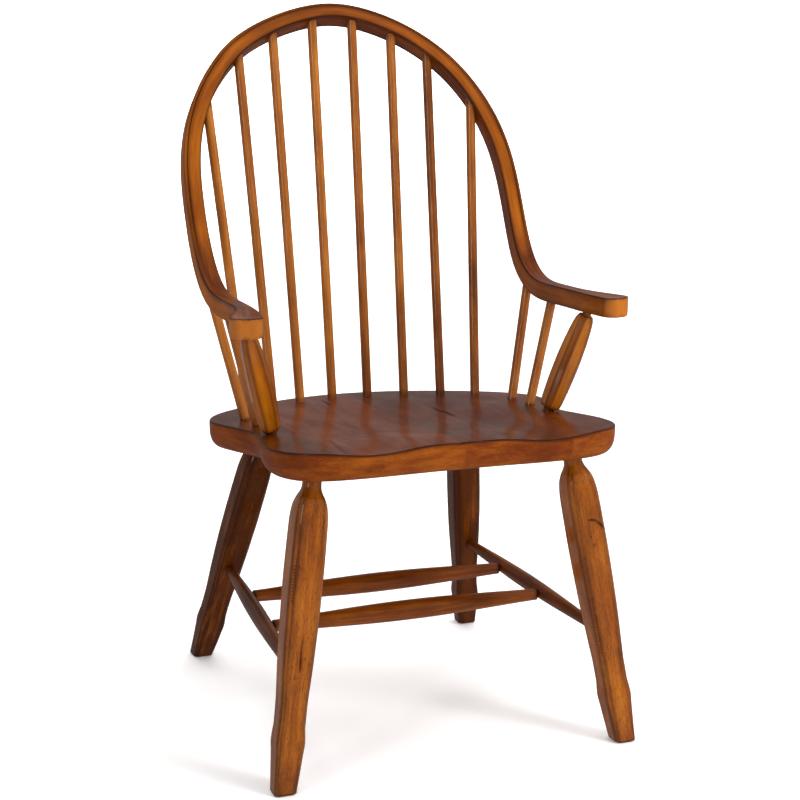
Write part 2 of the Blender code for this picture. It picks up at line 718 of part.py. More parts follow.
def swelled_profile(length, end_radius, middle_radius, tenon_radius, tenon_length):
    """Stretcher swelling to its middle, from the top down, with a tenon at both ends."""
    body = length - 2.0 * tenon_length
    top = [
        (0.0, length), (tenon_radius - TURN_EASE, length), (tenon_radius, length - TURN_EASE),
        (tenon_radius, length - tenon_length),
    ]
    foot = [(radius, length - height) for radius, height in reversed(top)]
    middle = []
    for share in SWELL_SHARES:
        radius = swelled_radius(share, end_radius, middle_radius)
        middle.append((radius, length - tenon_length - body * share))
    if end_radius > tenon_radius:
        middle.insert(0, (end_radius, length - tenon_length))
        middle.append((end_radius, tenon_length))
    return top + middle + foot


class SideStretcherPlan:
    """Stretcher between the front and back leg of one side."""

    def __init__(self, word, front_leg, back_leg):
        self.name = "side_stretcher_" + word
        self.front = front_leg.at_height(SIDE_FRONT_Z)
        self.back = back_leg.at_height(SIDE_BACK_Z)
        self.axis = (self.back - self.front) / np.linalg.norm(self.back - self.front)
        self.half_front = self.leg_half(front_leg, SIDE_FRONT_Z)
        self.half_back = self.leg_half(back_leg, SIDE_BACK_Z)
        self.foot = self.front + self.axis * (self.half_front - STRETCHER_LEG_DEPTH)
        self.tip = self.back - self.axis * (self.half_back - STRETCHER_LEG_DEPTH)
        self.length = float(np.linalg.norm(self.tip - self.foot))
        self.made = None

    @staticmethod
    def leg_half(leg, height):
        """Half side of the leg at a height."""
        share = height / leg.axis[2] / leg.reach
        table = np.array([(row[0], row[1]) for row in LEG_SECTION_RATIOS])
        return float(np.interp(share, table[:, 0], table[:, 1])) * leg.side / 2.0

    def point_at(self, share):
        """Point of the axis at a share of the way from front leg to back leg."""
        return self.front + (self.back - self.front) * share

    def radius_at(self, share):
        """Radius of the stretcher at a share of the way from leg axis to leg axis."""
        straight = STRETCHER_LEG_DEPTH + SIDE_STRAIGHT_SHOW
        along = float(np.dot(self.point_at(share) - self.foot, self.axis)) - straight
        swelling = along / (self.length - 2.0 * straight)
        return swelled_radius(swelling, SIDE_END_RADIUS, SIDE_MIDDLE_RADIUS)

    def build(self, material, collection):
        """Make the turned stretcher."""
        profile = swelled_profile(self.length, SIDE_END_RADIUS, SIDE_MIDDLE_RADIUS,
                                  SIDE_END_RADIUS, STRETCHER_LEG_DEPTH + SIDE_STRAIGHT_SHOW)
        return turned(self.name, profile, self.foot, self.tip, material, collection)

    def leg_cutters(self, collection):
        """Sockets in the front and back leg."""
        reach = SOCKET_RUN_OUT
        radius = SIDE_END_RADIUS + CLEAR
        front = pin(self.foot - self.axis * CLEAR, self.foot + self.axis * reach, radius,
                    collection, self.name + "_front_socket")
        back = pin(self.tip + self.axis * CLEAR, self.tip - self.axis * reach, radius,
                   collection, self.name + "_back_socket")
        return front, back


class CrossStretcherPlan:
    """Stretcher between the two side stretchers."""

    def __init__(self, word, left, right, share):
        self.name = "cross_stretcher_" + word
        drop = np.array((0.0, 0.0, CROSS_DROP))
        start = left.point_at(share) - drop
        end = right.point_at(share) - drop
        self.axis = (end - start) / np.linalg.norm(end - start)
        # The rim of the flat shoulder stays clear where the side stretcher runs askew.
        askew = CROSS_END_RADIUS * abs(float(self.axis @ left.axis))
        shoulder = left.radius_at(share) + askew + 2.0 * CLEAR
        self.foot = start + self.axis * (shoulder - CROSS_TENON_DEPTH)
        self.tip = end - self.axis * (shoulder - CROSS_TENON_DEPTH)

    def build(self, material, collection):
        """Make the turned stretcher with a tenon at both ends."""
        length = float(np.linalg.norm(self.tip - self.foot))
        profile = swelled_profile(length, CROSS_END_RADIUS, CROSS_MIDDLE_RADIUS,
                                  CROSS_TENON_RADIUS, CROSS_TENON_DEPTH)
        return turned(self.name, profile, self.foot, self.tip, material, collection)

    def cutters(self, collection):
        """Sockets in the left and right side stretcher."""
        reach = SOCKET_RUN_OUT
        radius = CROSS_TENON_RADIUS + CLEAR
        left = pin(self.foot - self.axis * CLEAR, self.foot + self.axis * reach, radius,
                   collection, self.name + "_left_socket")
        right = pin(self.tip + self.axis * CLEAR, self.tip - self.axis * reach, radius,
                    collection, self.name + "_right_socket")
        return left, right


def build_chair():
    """Build every piece of the chair."""
    chair = new_collection("bow_back_armchair")
    tools = new_collection("cutters")
    spindle_wood = wood(*SPINDLE_WOOD)
    post_wood = wood(*POST_WOOD)
    leg_wood = wood(*LEG_WOOD)
    stretcher_wood = wood(*STRETCHER_WOOD)

    path = BowPath()
    spindles = back_spindle_plans(path) + arm_spindle_plans(path)
    posts = [PostPlan("left", -1.0, path), PostPlan("right", 1.0, path)]
    legs = {}
    for word, side in (("left", -1.0), ("right", 1.0)):
        legs["front", word] = LegPlan("leg_front_" + word, FRONT_AIM, FRONT_SPLAY_X, -FRONT_SPLAY_Y,
                                      FRONT_LEG_SIDE, side)
        legs["back", word] = LegPlan("leg_back_" + word, BACK_AIM, BACK_SPLAY_X, BACK_SPLAY_Y,
                                     BACK_LEG_SIDE, side)
    sides = {}
    for word in ("left", "right"):
        sides[word] = SideStretcherPlan(word, legs["front", word], legs["back", word])
    crosses = [
        CrossStretcherPlan("front", sides["left"], sides["right"], CROSS_SHARES[0]),
        CrossStretcherPlan("back", sides["left"], sides["right"], CROSS_SHARES[1]),
    ]

    seat_cutters = []
    bow_cutters = []
    for plan in spindles:
        plan.build(spindle_wood, chair)
        seat_cutters.append(plan.seat_cutter(tools))
        bow_cutters.append(plan.bow_cutter(tools))
    for post in posts:
        post.build(post_wood, chair)
        in_seat, in_arm = post.cutters(tools)
        seat_cutters.append(in_seat)
        bow_cutters.append(in_arm)

    for leg in legs.values():
        leg.made = build_leg(leg, leg_wood, chair)
        low = leg.foot + leg.axis * (leg.reach - LEG_TENON_DEPTH)
        seat_cutters.append(pin(low, leg.tenon_top(CLEAR), leg.neck + CLEAR, tools,
                                leg.name + "_seat_socket"))
    for word, plan in sides.items():
        front, back = plan.leg_cutters(tools)
        bore(legs["front", word].made, [front])
        bore(legs["back", word].made, [back])
        plan.made = plan.build(stretcher_wood, chair)
    for cross in crosses:
        cross.build(stretcher_wood, chair)
        left, right = cross.cutters(tools)
        bore(sides["left"].made, [left])
        bore(sides["right"].made, [right])

    seat = build_seat(wood(*SEAT_WOOD), chair)
    bore(seat, seat_cutters)
    bow = build_bow(path, wood(*BOW_WOOD), chair)
    bore(bow, bow_cutters)

    # The origin moves to the middle of the chair's length, on the floor.
    front = min(corner[1] for corner in legs["front", "left"].made.bound_box)
    rear = max(corner[1] for corner in bow.bound_box)
    for piece in list(chair.objects) + list(tools.objects):
        piece.location.y -= (front + rear) / 2.0


for old in list(bpy.data.objects):
    bpy.data.objects.remove(old)
build_chair()
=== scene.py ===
import logging
import math
from dataclasses import dataclass
from enum import Enum

import bmesh
import bpy
import numpy as np
from mathutils import Matrix, Vector, noise


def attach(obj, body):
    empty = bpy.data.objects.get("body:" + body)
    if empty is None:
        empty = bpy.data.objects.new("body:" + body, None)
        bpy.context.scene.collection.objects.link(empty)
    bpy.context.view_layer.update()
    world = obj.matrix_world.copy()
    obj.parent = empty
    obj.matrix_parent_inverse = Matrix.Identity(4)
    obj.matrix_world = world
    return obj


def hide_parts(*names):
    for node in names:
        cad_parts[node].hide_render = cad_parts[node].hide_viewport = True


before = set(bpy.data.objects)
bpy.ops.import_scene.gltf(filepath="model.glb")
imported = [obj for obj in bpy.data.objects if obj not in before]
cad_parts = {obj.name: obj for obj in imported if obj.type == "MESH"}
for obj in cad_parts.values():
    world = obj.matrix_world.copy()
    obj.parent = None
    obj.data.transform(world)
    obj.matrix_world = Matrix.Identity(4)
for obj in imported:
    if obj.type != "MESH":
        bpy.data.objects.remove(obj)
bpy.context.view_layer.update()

LOG = logging.getLogger("armchair")

# The places below are drawn from a point this far in front of the part's origin.
ORIGIN_Y = 0.017735
DECK_Z = 0.4525
DECK_Y = 0.2135
DECK_SLOPE = 0.0794


class Wood(Enum):
    """The stained woods of the chair, by the record's material slot."""

    SEAT = "seat_wood"
    BOW = "bow_wood"
    SPINDLE = "spindle_wood"
    POST = "arm_post_wood"
    LEG = "leg_wood"
    STRETCHER = "stretcher_wood"


def linear(hex_colour: str) -> tuple[float, float, float, float]:
    """Turn an sRGB hex colour to linear.

    Args:
        hex_colour: six hex digits after a hash sign.

    Returns:
        Linear red, green, blue and a full alpha.
    """
    parts = [int(hex_colour[i:i + 2], 16) / 255.0 for i in (1, 3, 5)]
    flat = [p / 12.92 if p <= 0.04045 else ((p + 0.055) / 1.055) ** 2.4 for p in parts]
    return (flat[0], flat[1], flat[2], 1.0)


def add_node(tree: bpy.types.NodeTree, kind: str, settings: dict | None = None,
             inputs: dict | None = None) -> bpy.types.Node:
    """Add a node with its settings, values and links.

    Args:
        tree: the node tree.
        kind: Blender's node type.
        settings: attributes of the node.
        inputs: socket name or number to a value, or to the output socket that feeds it.

    Returns:
        The new node.
    """
    node = tree.nodes.new(kind)
    for key, value in (settings or {}).items():
        setattr(node, key, value)
    for key, value in (inputs or {}).items():
        if isinstance(value, bpy.types.NodeSocket):
            tree.links.new(value, node.inputs[key])
        else:
            node.inputs[key].default_value = value
    return node


@dataclass(frozen=True)
class StainedHardwood:
    """Close-grained hardwood, wiped with a brown stain and sprayed with gloss lacquer.

    The stain leaves soft blotches and dark pores, gathers along edges and in joints, and the
    lacquer gives a clear second gloss over the wood. Painted shade also darkens the joints, the
    bow's groove and shaded faces.
    """

    name: str
    pale: str
    body: str
    deep: str
    pore: str
    figure_mm: float = 7.0
    fibre_mm: float = 1.4
    blotch_mm: float = 45.0
    blotch_share: float = 0.55
    roughness: float = 0.34
    specular: float = 0.15
    coat: float = 0.20
    coat_roughness: float = 0.14
    edge_stain: float = 0.55
    speck_share: float = 0.30
    lacquer_ripple_mm: float = 2.2
    ripple_strength: float = 0.10
    figure_share: float = 0.42
    fibre_share: float = 0.28
    tone_light_and_shade_share: float = 0.30
    stain_stops: tuple[float, float, float] = (0.50, 0.74, 1.0)
    pore_mm: float = 0.8

    def build(self) -> bpy.types.Material:
        """Build the material from its sizes and colours.

        Returns:
            The finished material.
        """
        made = bpy.data.materials.new(self.name)
        made.use_nodes = True
        tree = made.node_tree
        shader = tree.nodes["Principled BSDF"]
        grain = add_node(tree, "ShaderNodeAttribute", {"attribute_name": "grain"}).outputs["Vector"]
        figure = self.streaks(tree, grain, self.figure_mm, 26.0, 3.0)
        fibre = self.streaks(tree, grain, self.fibre_mm, 30.0, 2.0)
        blotch = self.streaks(tree, grain, self.blotch_mm, 2.2, 2.0)
        tone = self.tone(tree, figure, fibre, blotch)
        colour = self.stain(tree, tone)
        colour = self.darken(tree, colour, self.pore_mask(tree, grain), 0.75)
        colour = self.darken(tree, colour, self.edge_mask(tree, figure), 1.0)
        # Dark lines at joints and in the bow's groove: stain plus painted shade.
        colour = self.darken(tree, colour, self.attribute(tree, "stain_and_shade_line"), 0.8)
        # Blemishes, and painted shade along one crease of the seat.
        colour = self.darken(tree, colour, self.attribute(tree, "mark_and_crease_shade"), 1.0)
        tree.links.new(colour, shader.inputs["Base Color"])
        rough = add_node(tree, "ShaderNodeMapRange", None, {
            "Value": blotch, "From Min": 0.3, "From Max": 0.7,
            "To Min": self.roughness * 0.85, "To Max": self.roughness * 1.2})
        tree.links.new(rough.outputs["Result"], shader.inputs["Roughness"])
        shader.inputs["IOR"].default_value = 1.5
        gloss = self.attribute(tree, "gloss")
        for socket, most in (("Specular IOR Level", self.specular), ("Coat Weight", self.coat)):
            level = add_node(tree, "ShaderNodeMath", {"operation": "MULTIPLY"}, {0: gloss, 1: most})
            tree.links.new(level.outputs[0], shader.inputs[socket])
        shader.inputs["Coat Roughness"].default_value = self.coat_roughness
        self.surface(tree, shader, grain, fibre)
        return made

    @staticmethod
    def attribute(tree: bpy.types.NodeTree, name: str) -> bpy.types.NodeSocket:
        """Output socket that gives the number of a mesh attribute."""
        return add_node(tree, "ShaderNodeAttribute", {"attribute_name": name}).outputs["Fac"]

    @staticmethod
    def streaks(tree: bpy.types.NodeTree, grain: bpy.types.NodeSocket, across_mm: float,
                stretch: float, detail: float) -> bpy.types.NodeSocket:
        """Noise drawn out along the grain.

        Args:
            tree: the node tree.
            grain: place in the wood: across, into and along it, in metres.
            across_mm: width of a streak.
            stretch: its length over its width.
            detail: octaves of the noise.

        Returns:
            The noise value, around 0.5.
        """
        scale = 1000.0 / across_mm
        place = add_node(tree, "ShaderNodeMapping", None, {
            "Vector": grain, "Scale": (scale, scale, scale / stretch)})
        made = add_node(tree, "ShaderNodeTexNoise", None, {
            "Vector": place.outputs["Vector"], "Scale": 1.0, "Detail": detail,
            "Roughness": 0.55, "Distortion": 0.25})
        return made.outputs["Fac"]

    def tone(self, tree: bpy.types.NodeTree, figure: bpy.types.NodeSocket,
             fibre: bpy.types.NodeSocket, blotch: bpy.types.NodeSocket) -> bpy.types.NodeSocket:
        """Blend figure, fibre, blotches and the piece's own tone with its painted light and shade into
        one tone.

        Args:
            tree: the node tree.
            figure: noise of the grain's figure.
            fibre: noise of the single fibres.
            blotch: noise of the blotchy stain.

        Returns:
            The tone, about 0.5 for pale wood to 1 for the darkest.
        """
        parts = ((figure, self.figure_share), (fibre, self.fibre_share), (blotch, self.blotch_share),
                 (self.attribute(tree, "tone_light_and_shade"), self.tone_light_and_shade_share))
        start = add_node(tree, "ShaderNodeValue")
        start.outputs[0].default_value = (0.55 - self.blotch_share) / 2.0
        total = start.outputs[0]
        for socket, weight in parts:
            total = add_node(tree, "ShaderNodeMath", {"operation": "MULTIPLY_ADD"},
                             {0: socket, 1: weight, 2: total}).outputs[0]
        return total

    def stain(self, tree: bpy.types.NodeTree, tone: bpy.types.NodeSocket) -> bpy.types.NodeSocket:
        """Colour the stained wood by its tone.

        Args:
            tree: the node tree.
            tone: output of the tone.

        Returns:
            The colour, from pale through body to deep.
        """
        ramp = add_node(tree, "ShaderNodeValToRGB", None, {"Fac": tone})
        stops = ramp.color_ramp.elements
        first, centre, last = self.stain_stops
        stops[0].position = first
        stops[0].color = linear(self.pale)
        stops[1].position = last
        stops[1].color = linear(self.deep)
        middle = stops.new(centre)
        middle.color = linear(self.body)
        return ramp.outputs["Color"]

    def darken(self, tree: bpy.types.NodeTree, colour: bpy.types.NodeSocket,
               mask: bpy.types.NodeSocket, share: float) -> bpy.types.NodeSocket:
        """Mix the pore colour in by a mask.

        Args:
            tree: the node tree.
            colour: the wood's colour so far.
            mask: where it darkens, from 0 to 1.
            share: how far a full mask goes to the pore colour.

        Returns:
            The darkened colour.
        """
        factor = add_node(tree, "ShaderNodeMath", {"operation": "MULTIPLY", "use_clamp": True},
                          {0: mask, 1: share})
        mixed = add_node(tree, "ShaderNodeMix", {"data_type": "RGBA"}, {"Factor": factor.outputs[0]})
        tree.links.new(colour, mixed.inputs[6])
        mixed.inputs[7].default_value = linear(self.pore)
        return mixed.outputs[2]

    def pore_mask(self, tree: bpy.types.NodeTree,
                  grain: bpy.types.NodeSocket) -> bpy.types.NodeSocket:
        """Mask the short dark pores. Real ones are 0.1 mm wide; these are wider, so they show.

        Args:
            tree: the node tree.
            grain: place in the wood.

        Returns:
            The mask, 1 in a pore.
        """
        fine = self.streaks(tree, grain, self.pore_mm, 9.0, 1.0)
        made = add_node(tree, "ShaderNodeMapRange", None, {
            "Value": fine, "From Min": 0.70 - 0.12 * self.speck_share, "From Max": 0.80,
            "To Min": 0.0, "To Max": 1.0})
        return made.outputs["Result"]

    def edge_mask(self, tree: bpy.types.NodeTree,
                  figure: bpy.types.NodeSocket) -> bpy.types.NodeSocket:
        """Mask the stain gathered along the edges, broken up by the figure.

        Args:
            tree: the node tree.
            figure: noise of the grain's figure.

        Returns:
            The mask, up to edge_stain on an edge.
        """
        broken = add_node(tree, "ShaderNodeMapRange", None, {
            "Value": figure, "From Min": 0.35, "From Max": 0.65,
            "To Min": 0.55 * self.edge_stain, "To Max": self.edge_stain})
        made = add_node(tree, "ShaderNodeMath", {"operation": "MULTIPLY"},
                        {0: self.attribute(tree, "edge"), 1: broken.outputs["Result"]})
        return made.outputs[0]

    def surface(self, tree: bpy.types.NodeTree, shader: bpy.types.Node,
                grain: bpy.types.NodeSocket, fibre: bpy.types.NodeSocket) -> None:
        """Give the shader the lacquer's ripple and the faint relief of the fibres.

        Args:
            tree: the node tree.
            shader: the material's shader.
            grain: place in the wood.
            fibre: noise of the single fibres.
        """
        ripple = self.streaks(tree, grain, self.lacquer_ripple_mm, 2.0, 2.0)
        rough = add_node(tree, "ShaderNodeBump", None, {
            "Height": ripple, "Strength": self.ripple_strength, "Distance": 0.0004})
        relief = add_node(tree, "ShaderNodeBump", None, {
            "Height": fibre, "Strength": 0.06, "Distance": 0.0003, "Normal": rough.outputs["Normal"]})
        tree.links.new(relief.outputs["Normal"], shader.inputs["Normal"])
        coat = add_node(tree, "ShaderNodeBump", None, {
            "Height": ripple, "Strength": self.ripple_strength * 0.7, "Distance": 0.0004})
        tree.links.new(coat.outputs["Normal"], shader.inputs["Coat Normal"])


FINISHES = {
    # Red-brown seat under a hazy gloss that mirrors the spindles.
    Wood.SEAT: StainedHardwood("stained_hardwood_seat", "#99500f", "#703008", "#431803", "#120501",
                               figure_mm=9.0, blotch_share=0.25, speck_share=0.0, roughness=0.34,
                               specular=0.30, coat=0.25, coat_roughness=0.12, edge_stain=1.0),
    # Orange-brown bow, darker along its edges with stain and in the bead with stain and painted shade.
    Wood.BOW: StainedHardwood("stained_hardwood_bow", "#b0620d", "#8a4505", "#522103", "#180801",
                              blotch_share=0.40, specular=0.10, coat=0.38, edge_stain=0.65),
    # Honey spindles with a broken bright line down one side.
    Wood.SPINDLE: StainedHardwood("stained_hardwood_spindles", "#bd7428", "#965216", "#5a2a08",
                                  "#1e0b04", figure_mm=4.0, coat=0.90, coat_roughness=0.07,
                                  lacquer_ripple_mm=1.3, ripple_strength=0.30),
    # Amber posts with dark seams at both necks, stain plus painted shade, and chamfers darkened as
    # painted shade.
    Wood.POST: StainedHardwood("stained_hardwood_posts", "#c07014", "#9c540a", "#672f05", "#201003",
                               figure_mm=14.0, specular=0.10, coat=0.95, coat_roughness=0.08,
                               edge_stain=0.50, ripple_strength=0.05),
    # Honey to red-brown legs, freckled with pores and dark along the corners.
    Wood.LEG: StainedHardwood("stained_hardwood_legs", "#b66a18", "#8e490c", "#502404", "#160802",
                              speck_share=1.5, specular=0.10, coat=0.85,
                              coat_roughness=0.08, edge_stain=0.80),
    # Brown stretchers.
    Wood.STRETCHER: StainedHardwood("stained_hardwood_stretchers", "#98510f", "#6d3407", "#421b03",
                                    "#160701", figure_mm=5.0, blotch_share=0.40, coat=0.5),
}


def spline(knots: np.ndarray, values: np.ndarray, where: np.ndarray) -> np.ndarray:
    """Natural cubic spline.

    Args:
        knots: rising places of the values.
        values: one row for each knot.
        where: places to read.

    Returns:
        One row for each place.
    """
    count = len(knots)
    gap = np.diff(knots)
    system = np.eye(count)
    right = np.zeros_like(values)
    for i in range(1, count - 1):
        system[i, i - 1:i + 2] = (gap[i - 1], 2.0 * (gap[i - 1] + gap[i]), gap[i])
        rise_after = (values[i + 1] - values[i]) / gap[i]
        rise_before = (values[i] - values[i - 1]) / gap[i - 1]
        right[i] = 6.0 * (rise_after - rise_before)
    bend = np.linalg.solve(system, right)
    k = np.clip(np.searchsorted(knots, where, side="right") - 1, 0, count - 2)
    h = gap[k][:, None]
    a = (knots[k + 1] - where)[:, None] / h
    b = (where - knots[k])[:, None] / h
    curved = ((a ** 3 - a) * bend[k] + (b ** 3 - b) * bend[k + 1]) * h * h / 6.0
    return a * values[k] + b * values[k + 1] + curved


def even_curve(knots: np.ndarray, values: np.ndarray, where: np.ndarray) -> np.ndarray:
    """Smooth curve through values that never overshoots them (monotone cubic).

    Args:
        knots: rising places of the values.
        values: one number for each knot.
        where: places to read.

    Returns:
        One number for each place.
    """
    gap = np.diff(knots)
    rise = np.diff(values) / gap
    slope = np.zeros(len(knots))
    slope[0] = rise[0]
    slope[-1] = rise[-1]
    for i in range(1, len(knots) - 1):
        if rise[i - 1] * rise[i] > 0.0:
            slope[i] = 2.0 / (1.0 / rise[i - 1] + 1.0 / rise[i])
    k = np.clip(np.searchsorted(knots, where, side="right") - 1, 0, len(knots) - 2)
    h = gap[k]
    t = (where - knots[k]) / h
    low = values[k] * (1 + 2 * t) * (1 - t) ** 2 + h * slope[k] * t * (1 - t) ** 2
    high = values[k + 1] * t ** 2 * (3 - 2 * t) + h * slope[k + 1] * t ** 2 * (t - 1)
    return low + high


def smooth_step(value: np.ndarray | float, low: float, high: float) -> np.ndarray | float:
    """Step smoothly from 0 at low to 1 at high."""
    t = np.clip((np.asarray(value) - low) / (high - low), 0.0, 1.0)
    return t * t * (3.0 - 2.0 * t)


def deck_height(y: np.ndarray | float) -> np.ndarray | float:
    """Height of the seat's plain deck at a place of the part's frame."""
    return DECK_Z + DECK_SLOPE * (DECK_Y - ORIGIN_Y - y)


@dataclass
class Axis:
    """Straight middle line of a leg, post, spindle or stretcher, read from its CAD node."""

    foot: np.ndarray
    tip: np.ndarray

    @classmethod
    def of_node(cls, node: str) -> "Axis":
        """Measure the axis of a node from the middles of its two end faces.

        Args:
            node: name of a long straight CAD node.

        Returns:
            The axis, from its lower end up.
        """
        raw = np.array([v.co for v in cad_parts[node].data.vertices])
        points = np.unique(raw.round(6), axis=0)
        _, _, directions = np.linalg.svd(points - points.mean(axis=0), full_matrices=False)
        run = points @ directions[0]
        near = 0.0003
        ends = [points[run < run.min() + near].mean(axis=0), points[run > run.max() - near].mean(axis=0)]
        ends.sort(key=lambda p: p[2])
        return cls(ends[0], ends[1])

    @property
    def length(self) -> float:
        """Distance from foot to tip."""
        return float(np.linalg.norm(self.tip - self.foot))

    @property
    def frame(self) -> tuple[np.ndarray, np.ndarray, np.ndarray]:
        """Find the piece's own directions.

        Returns:
            Directions across, into and along it.
        """
        along = (self.tip - self.foot) / self.length
        across = np.array((1.0, 0.0, 0.0)) - along * along[0]
        if np.linalg.norm(across) < 0.3:
            across = np.array((0.0, 0.0, 1.0)) - along * along[2]
        across /= np.linalg.norm(across)
        return across, np.cross(along, across), along

    def local(self, points: np.ndarray) -> np.ndarray:
        """Across, into and along of each point."""
        across, into, along = self.frame
        away = points - self.foot
        return np.stack([away @ across, away @ into, away @ along], axis=1)


class Piece:
    """A finished mesh piece that replaces one CAD node."""

    count = 0

    def __init__(self, node: str, wood: Wood, materials: dict[Wood, bpy.types.Material]) -> None:
        """Remember what the piece replaces and what it is made of.

        Args:
            node: the CAD node.
            wood: its wood.
            materials: the finished materials.
        """
        self.node = node
        self.wood = wood
        self.material = materials[wood]
        Piece.count += 1
        self.number = Piece.count
        generator = np.random.default_rng(1000 + self.number)
        self.tone_light_and_shade = float(generator.uniform(0.0, 1.0))
        self.offset = generator.uniform(-1.0, 1.0, 3)

    @staticmethod
    def cut(mesh: bpy.types.Mesh, mark_and_crease_shade: np.ndarray, depth: float = 0.0006) -> None:
        """Sink the blemishes into the surface.

        Args:
            mesh: the mesh, changed in place.
            mark_and_crease_shade: how full the blemish or the painted crease shade is at each vertex.
            depth: depth of a full blemish, in metres.
        """
        if mark_and_crease_shade.max() > 0.0:
            places, normals = mesh_arrays(mesh)
            mesh.vertices.foreach_set("co", (places - normals * (mark_and_crease_shade * depth)[:, None]).ravel())
            mesh.update()

    def finish(self, mesh: bpy.types.Mesh, grain: np.ndarray, stain_and_shade_line: np.ndarray | None = None,
               mark_and_crease_shade: np.ndarray | None = None, tone_light_and_shade: np.ndarray | None = None,
               gloss: np.ndarray | None = None, edge_mm: float = 4.0) -> bpy.types.Object:
        """Store what the materials read, link the piece and tie it to its node.

        Args:
            mesh: the finished mesh, in the part's frame.
            grain: across, into and along place of each vertex, in metres.
            stain_and_shade_line: how dark each vertex is beside a joint or in a groove, from stain and
                painted shade.
            mark_and_crease_shade: how dark a blemish or the painted shade of a crease is at each vertex.
            tone_light_and_shade: tone of each vertex, where it isn't the piece's own, with its painted
                light and shade.
            gloss: how bright the lacquer is at each vertex; blemishes have none.
            edge_mm: radius that counts as a full edge.

        Returns:
            The finished object.
        """
        count = len(mesh.vertices)
        plain = np.zeros(count)
        store = mesh.attributes.new("grain", "FLOAT_VECTOR", "POINT")
        store.data.foreach_set("vector", (grain + self.offset).astype(np.float32).ravel())
        mark_and_crease_shade = plain if mark_and_crease_shade is None else mark_and_crease_shade
        shine = plain + 1.0 if gloss is None else gloss
        values = {
            "edge": edge_share(mesh, edge_mm / 1000.0),
            "stain_and_shade_line": plain if stain_and_shade_line is None else stain_and_shade_line,
            "mark_and_crease_shade": mark_and_crease_shade,
            "gloss": shine * (1.0 - 0.9 * mark_and_crease_shade),
            "tone_light_and_shade": plain + self.tone_light_and_shade if tone_light_and_shade is None else tone_light_and_shade,
        }
        for name, numbers in values.items():
            store = mesh.attributes.new(name, "FLOAT", "POINT")
            store.data.foreach_set("value", np.asarray(numbers, np.float32))
        self.cut(mesh, mark_and_crease_shade)
        mesh.materials.clear()
        mesh.materials.append(self.material)
        made = bpy.data.objects.new("finished_" + self.node, mesh)
        bpy.context.scene.collection.objects.link(made)
        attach(made, "root")
        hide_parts(self.node)
        LOG.info("%s: %d faces in %s", made.name, len(mesh.polygons), self.material.name)
        return made


def mesh_arrays(mesh: bpy.types.Mesh) -> tuple[np.ndarray, np.ndarray]:
    """Read a mesh's vertices.

    Args:
        mesh: any mesh.

    Returns:
        Places and normals, one row for each vertex.
    """
    places = np.zeros(len(mesh.vertices) * 3)
    mesh.vertices.foreach_get("co", places)
    normals = np.zeros(len(mesh.vertices) * 3)
    mesh.vertex_normals.foreach_get("vector", normals)
    return places.reshape(-1, 3), normals.reshape(-1, 3)


def face_outward(mesh: bpy.types.Mesh) -> None:
    """Turn every face of a closed mesh outward.

    Args:
        mesh: the mesh, changed in place.
    """
    shape = bmesh.new()
    shape.from_mesh(mesh)
    bmesh.ops.recalc_face_normals(shape, faces=shape.faces)
    shape.to_mesh(mesh)
    shape.free()


def edge_share(mesh: bpy.types.Mesh, radius: float) -> np.ndarray:
    """How nearly each vertex lies on a rounded edge.

    Args:
        mesh: a mesh with its normals outward.
        radius: bend radius that counts as a full edge, in metres.

    Returns:
        A number from 0 on flat or hollow places to 1 on edges.
    """
    count = len(mesh.vertices)
    places, normals = mesh_arrays(mesh)
    ends = np.zeros(len(mesh.edges) * 2, np.int32)
    mesh.edges.foreach_get("vertices", ends)
    a, b = ends.reshape(-1, 2).T
    away = places[b] - places[a]
    size = np.maximum(np.sum(away * away, axis=1), 1e-10)
    bend = np.sum((normals[b] - normals[a]) * away, axis=1) / size
    most = np.full(count, -1e9)
    np.maximum.at(most, a, bend)
    np.maximum.at(most, b, bend)
    share = np.clip(most * radius, 0.0, 1.0)
    for _ in range(2):
        total = np.zeros(count)
        number = np.zeros(count)
        for p, q in ((a, b), (b, a)):
            np.add.at(total, p, share[q])
            np.add.at(number, p, 1.0)
        share = 0.5 * share + 0.5 * total / np.maximum(number, 1.0)
    return share


def loft_mesh(name: str, rings: np.ndarray) -> bpy.types.Mesh:
    """Closed mesh through rings of equally many points, with fan ends.

    Args:
        name: name of the mesh.
        rings: array of rings, points and coordinates.

    Returns:
        The mesh, with its faces outward. Its last two vertices are the ends' middles.
    """
    count, size = rings.shape[:2]
    points = np.concatenate([rings.reshape(-1, 3), rings[:1].mean(axis=1), rings[-1:].mean(axis=1)])
    first = count * size
    faces = []
    for j in range(count - 1):
        low = j * size
        for i in range(size):
            n = (i + 1) % size
            faces.append((low + i, low + n, low + size + n, low + size + i))
    last = (count - 1) * size
    for i in range(size):
        n = (i + 1) % size
        faces.append((first, n, i))
        faces.append((first + 1, last + i, last + n))
    mesh = bpy.data.meshes.new(name)
    mesh.from_pydata(points.tolist(), [], faces)
    face_outward(mesh)
    mesh.shade_smooth()
    return mesh


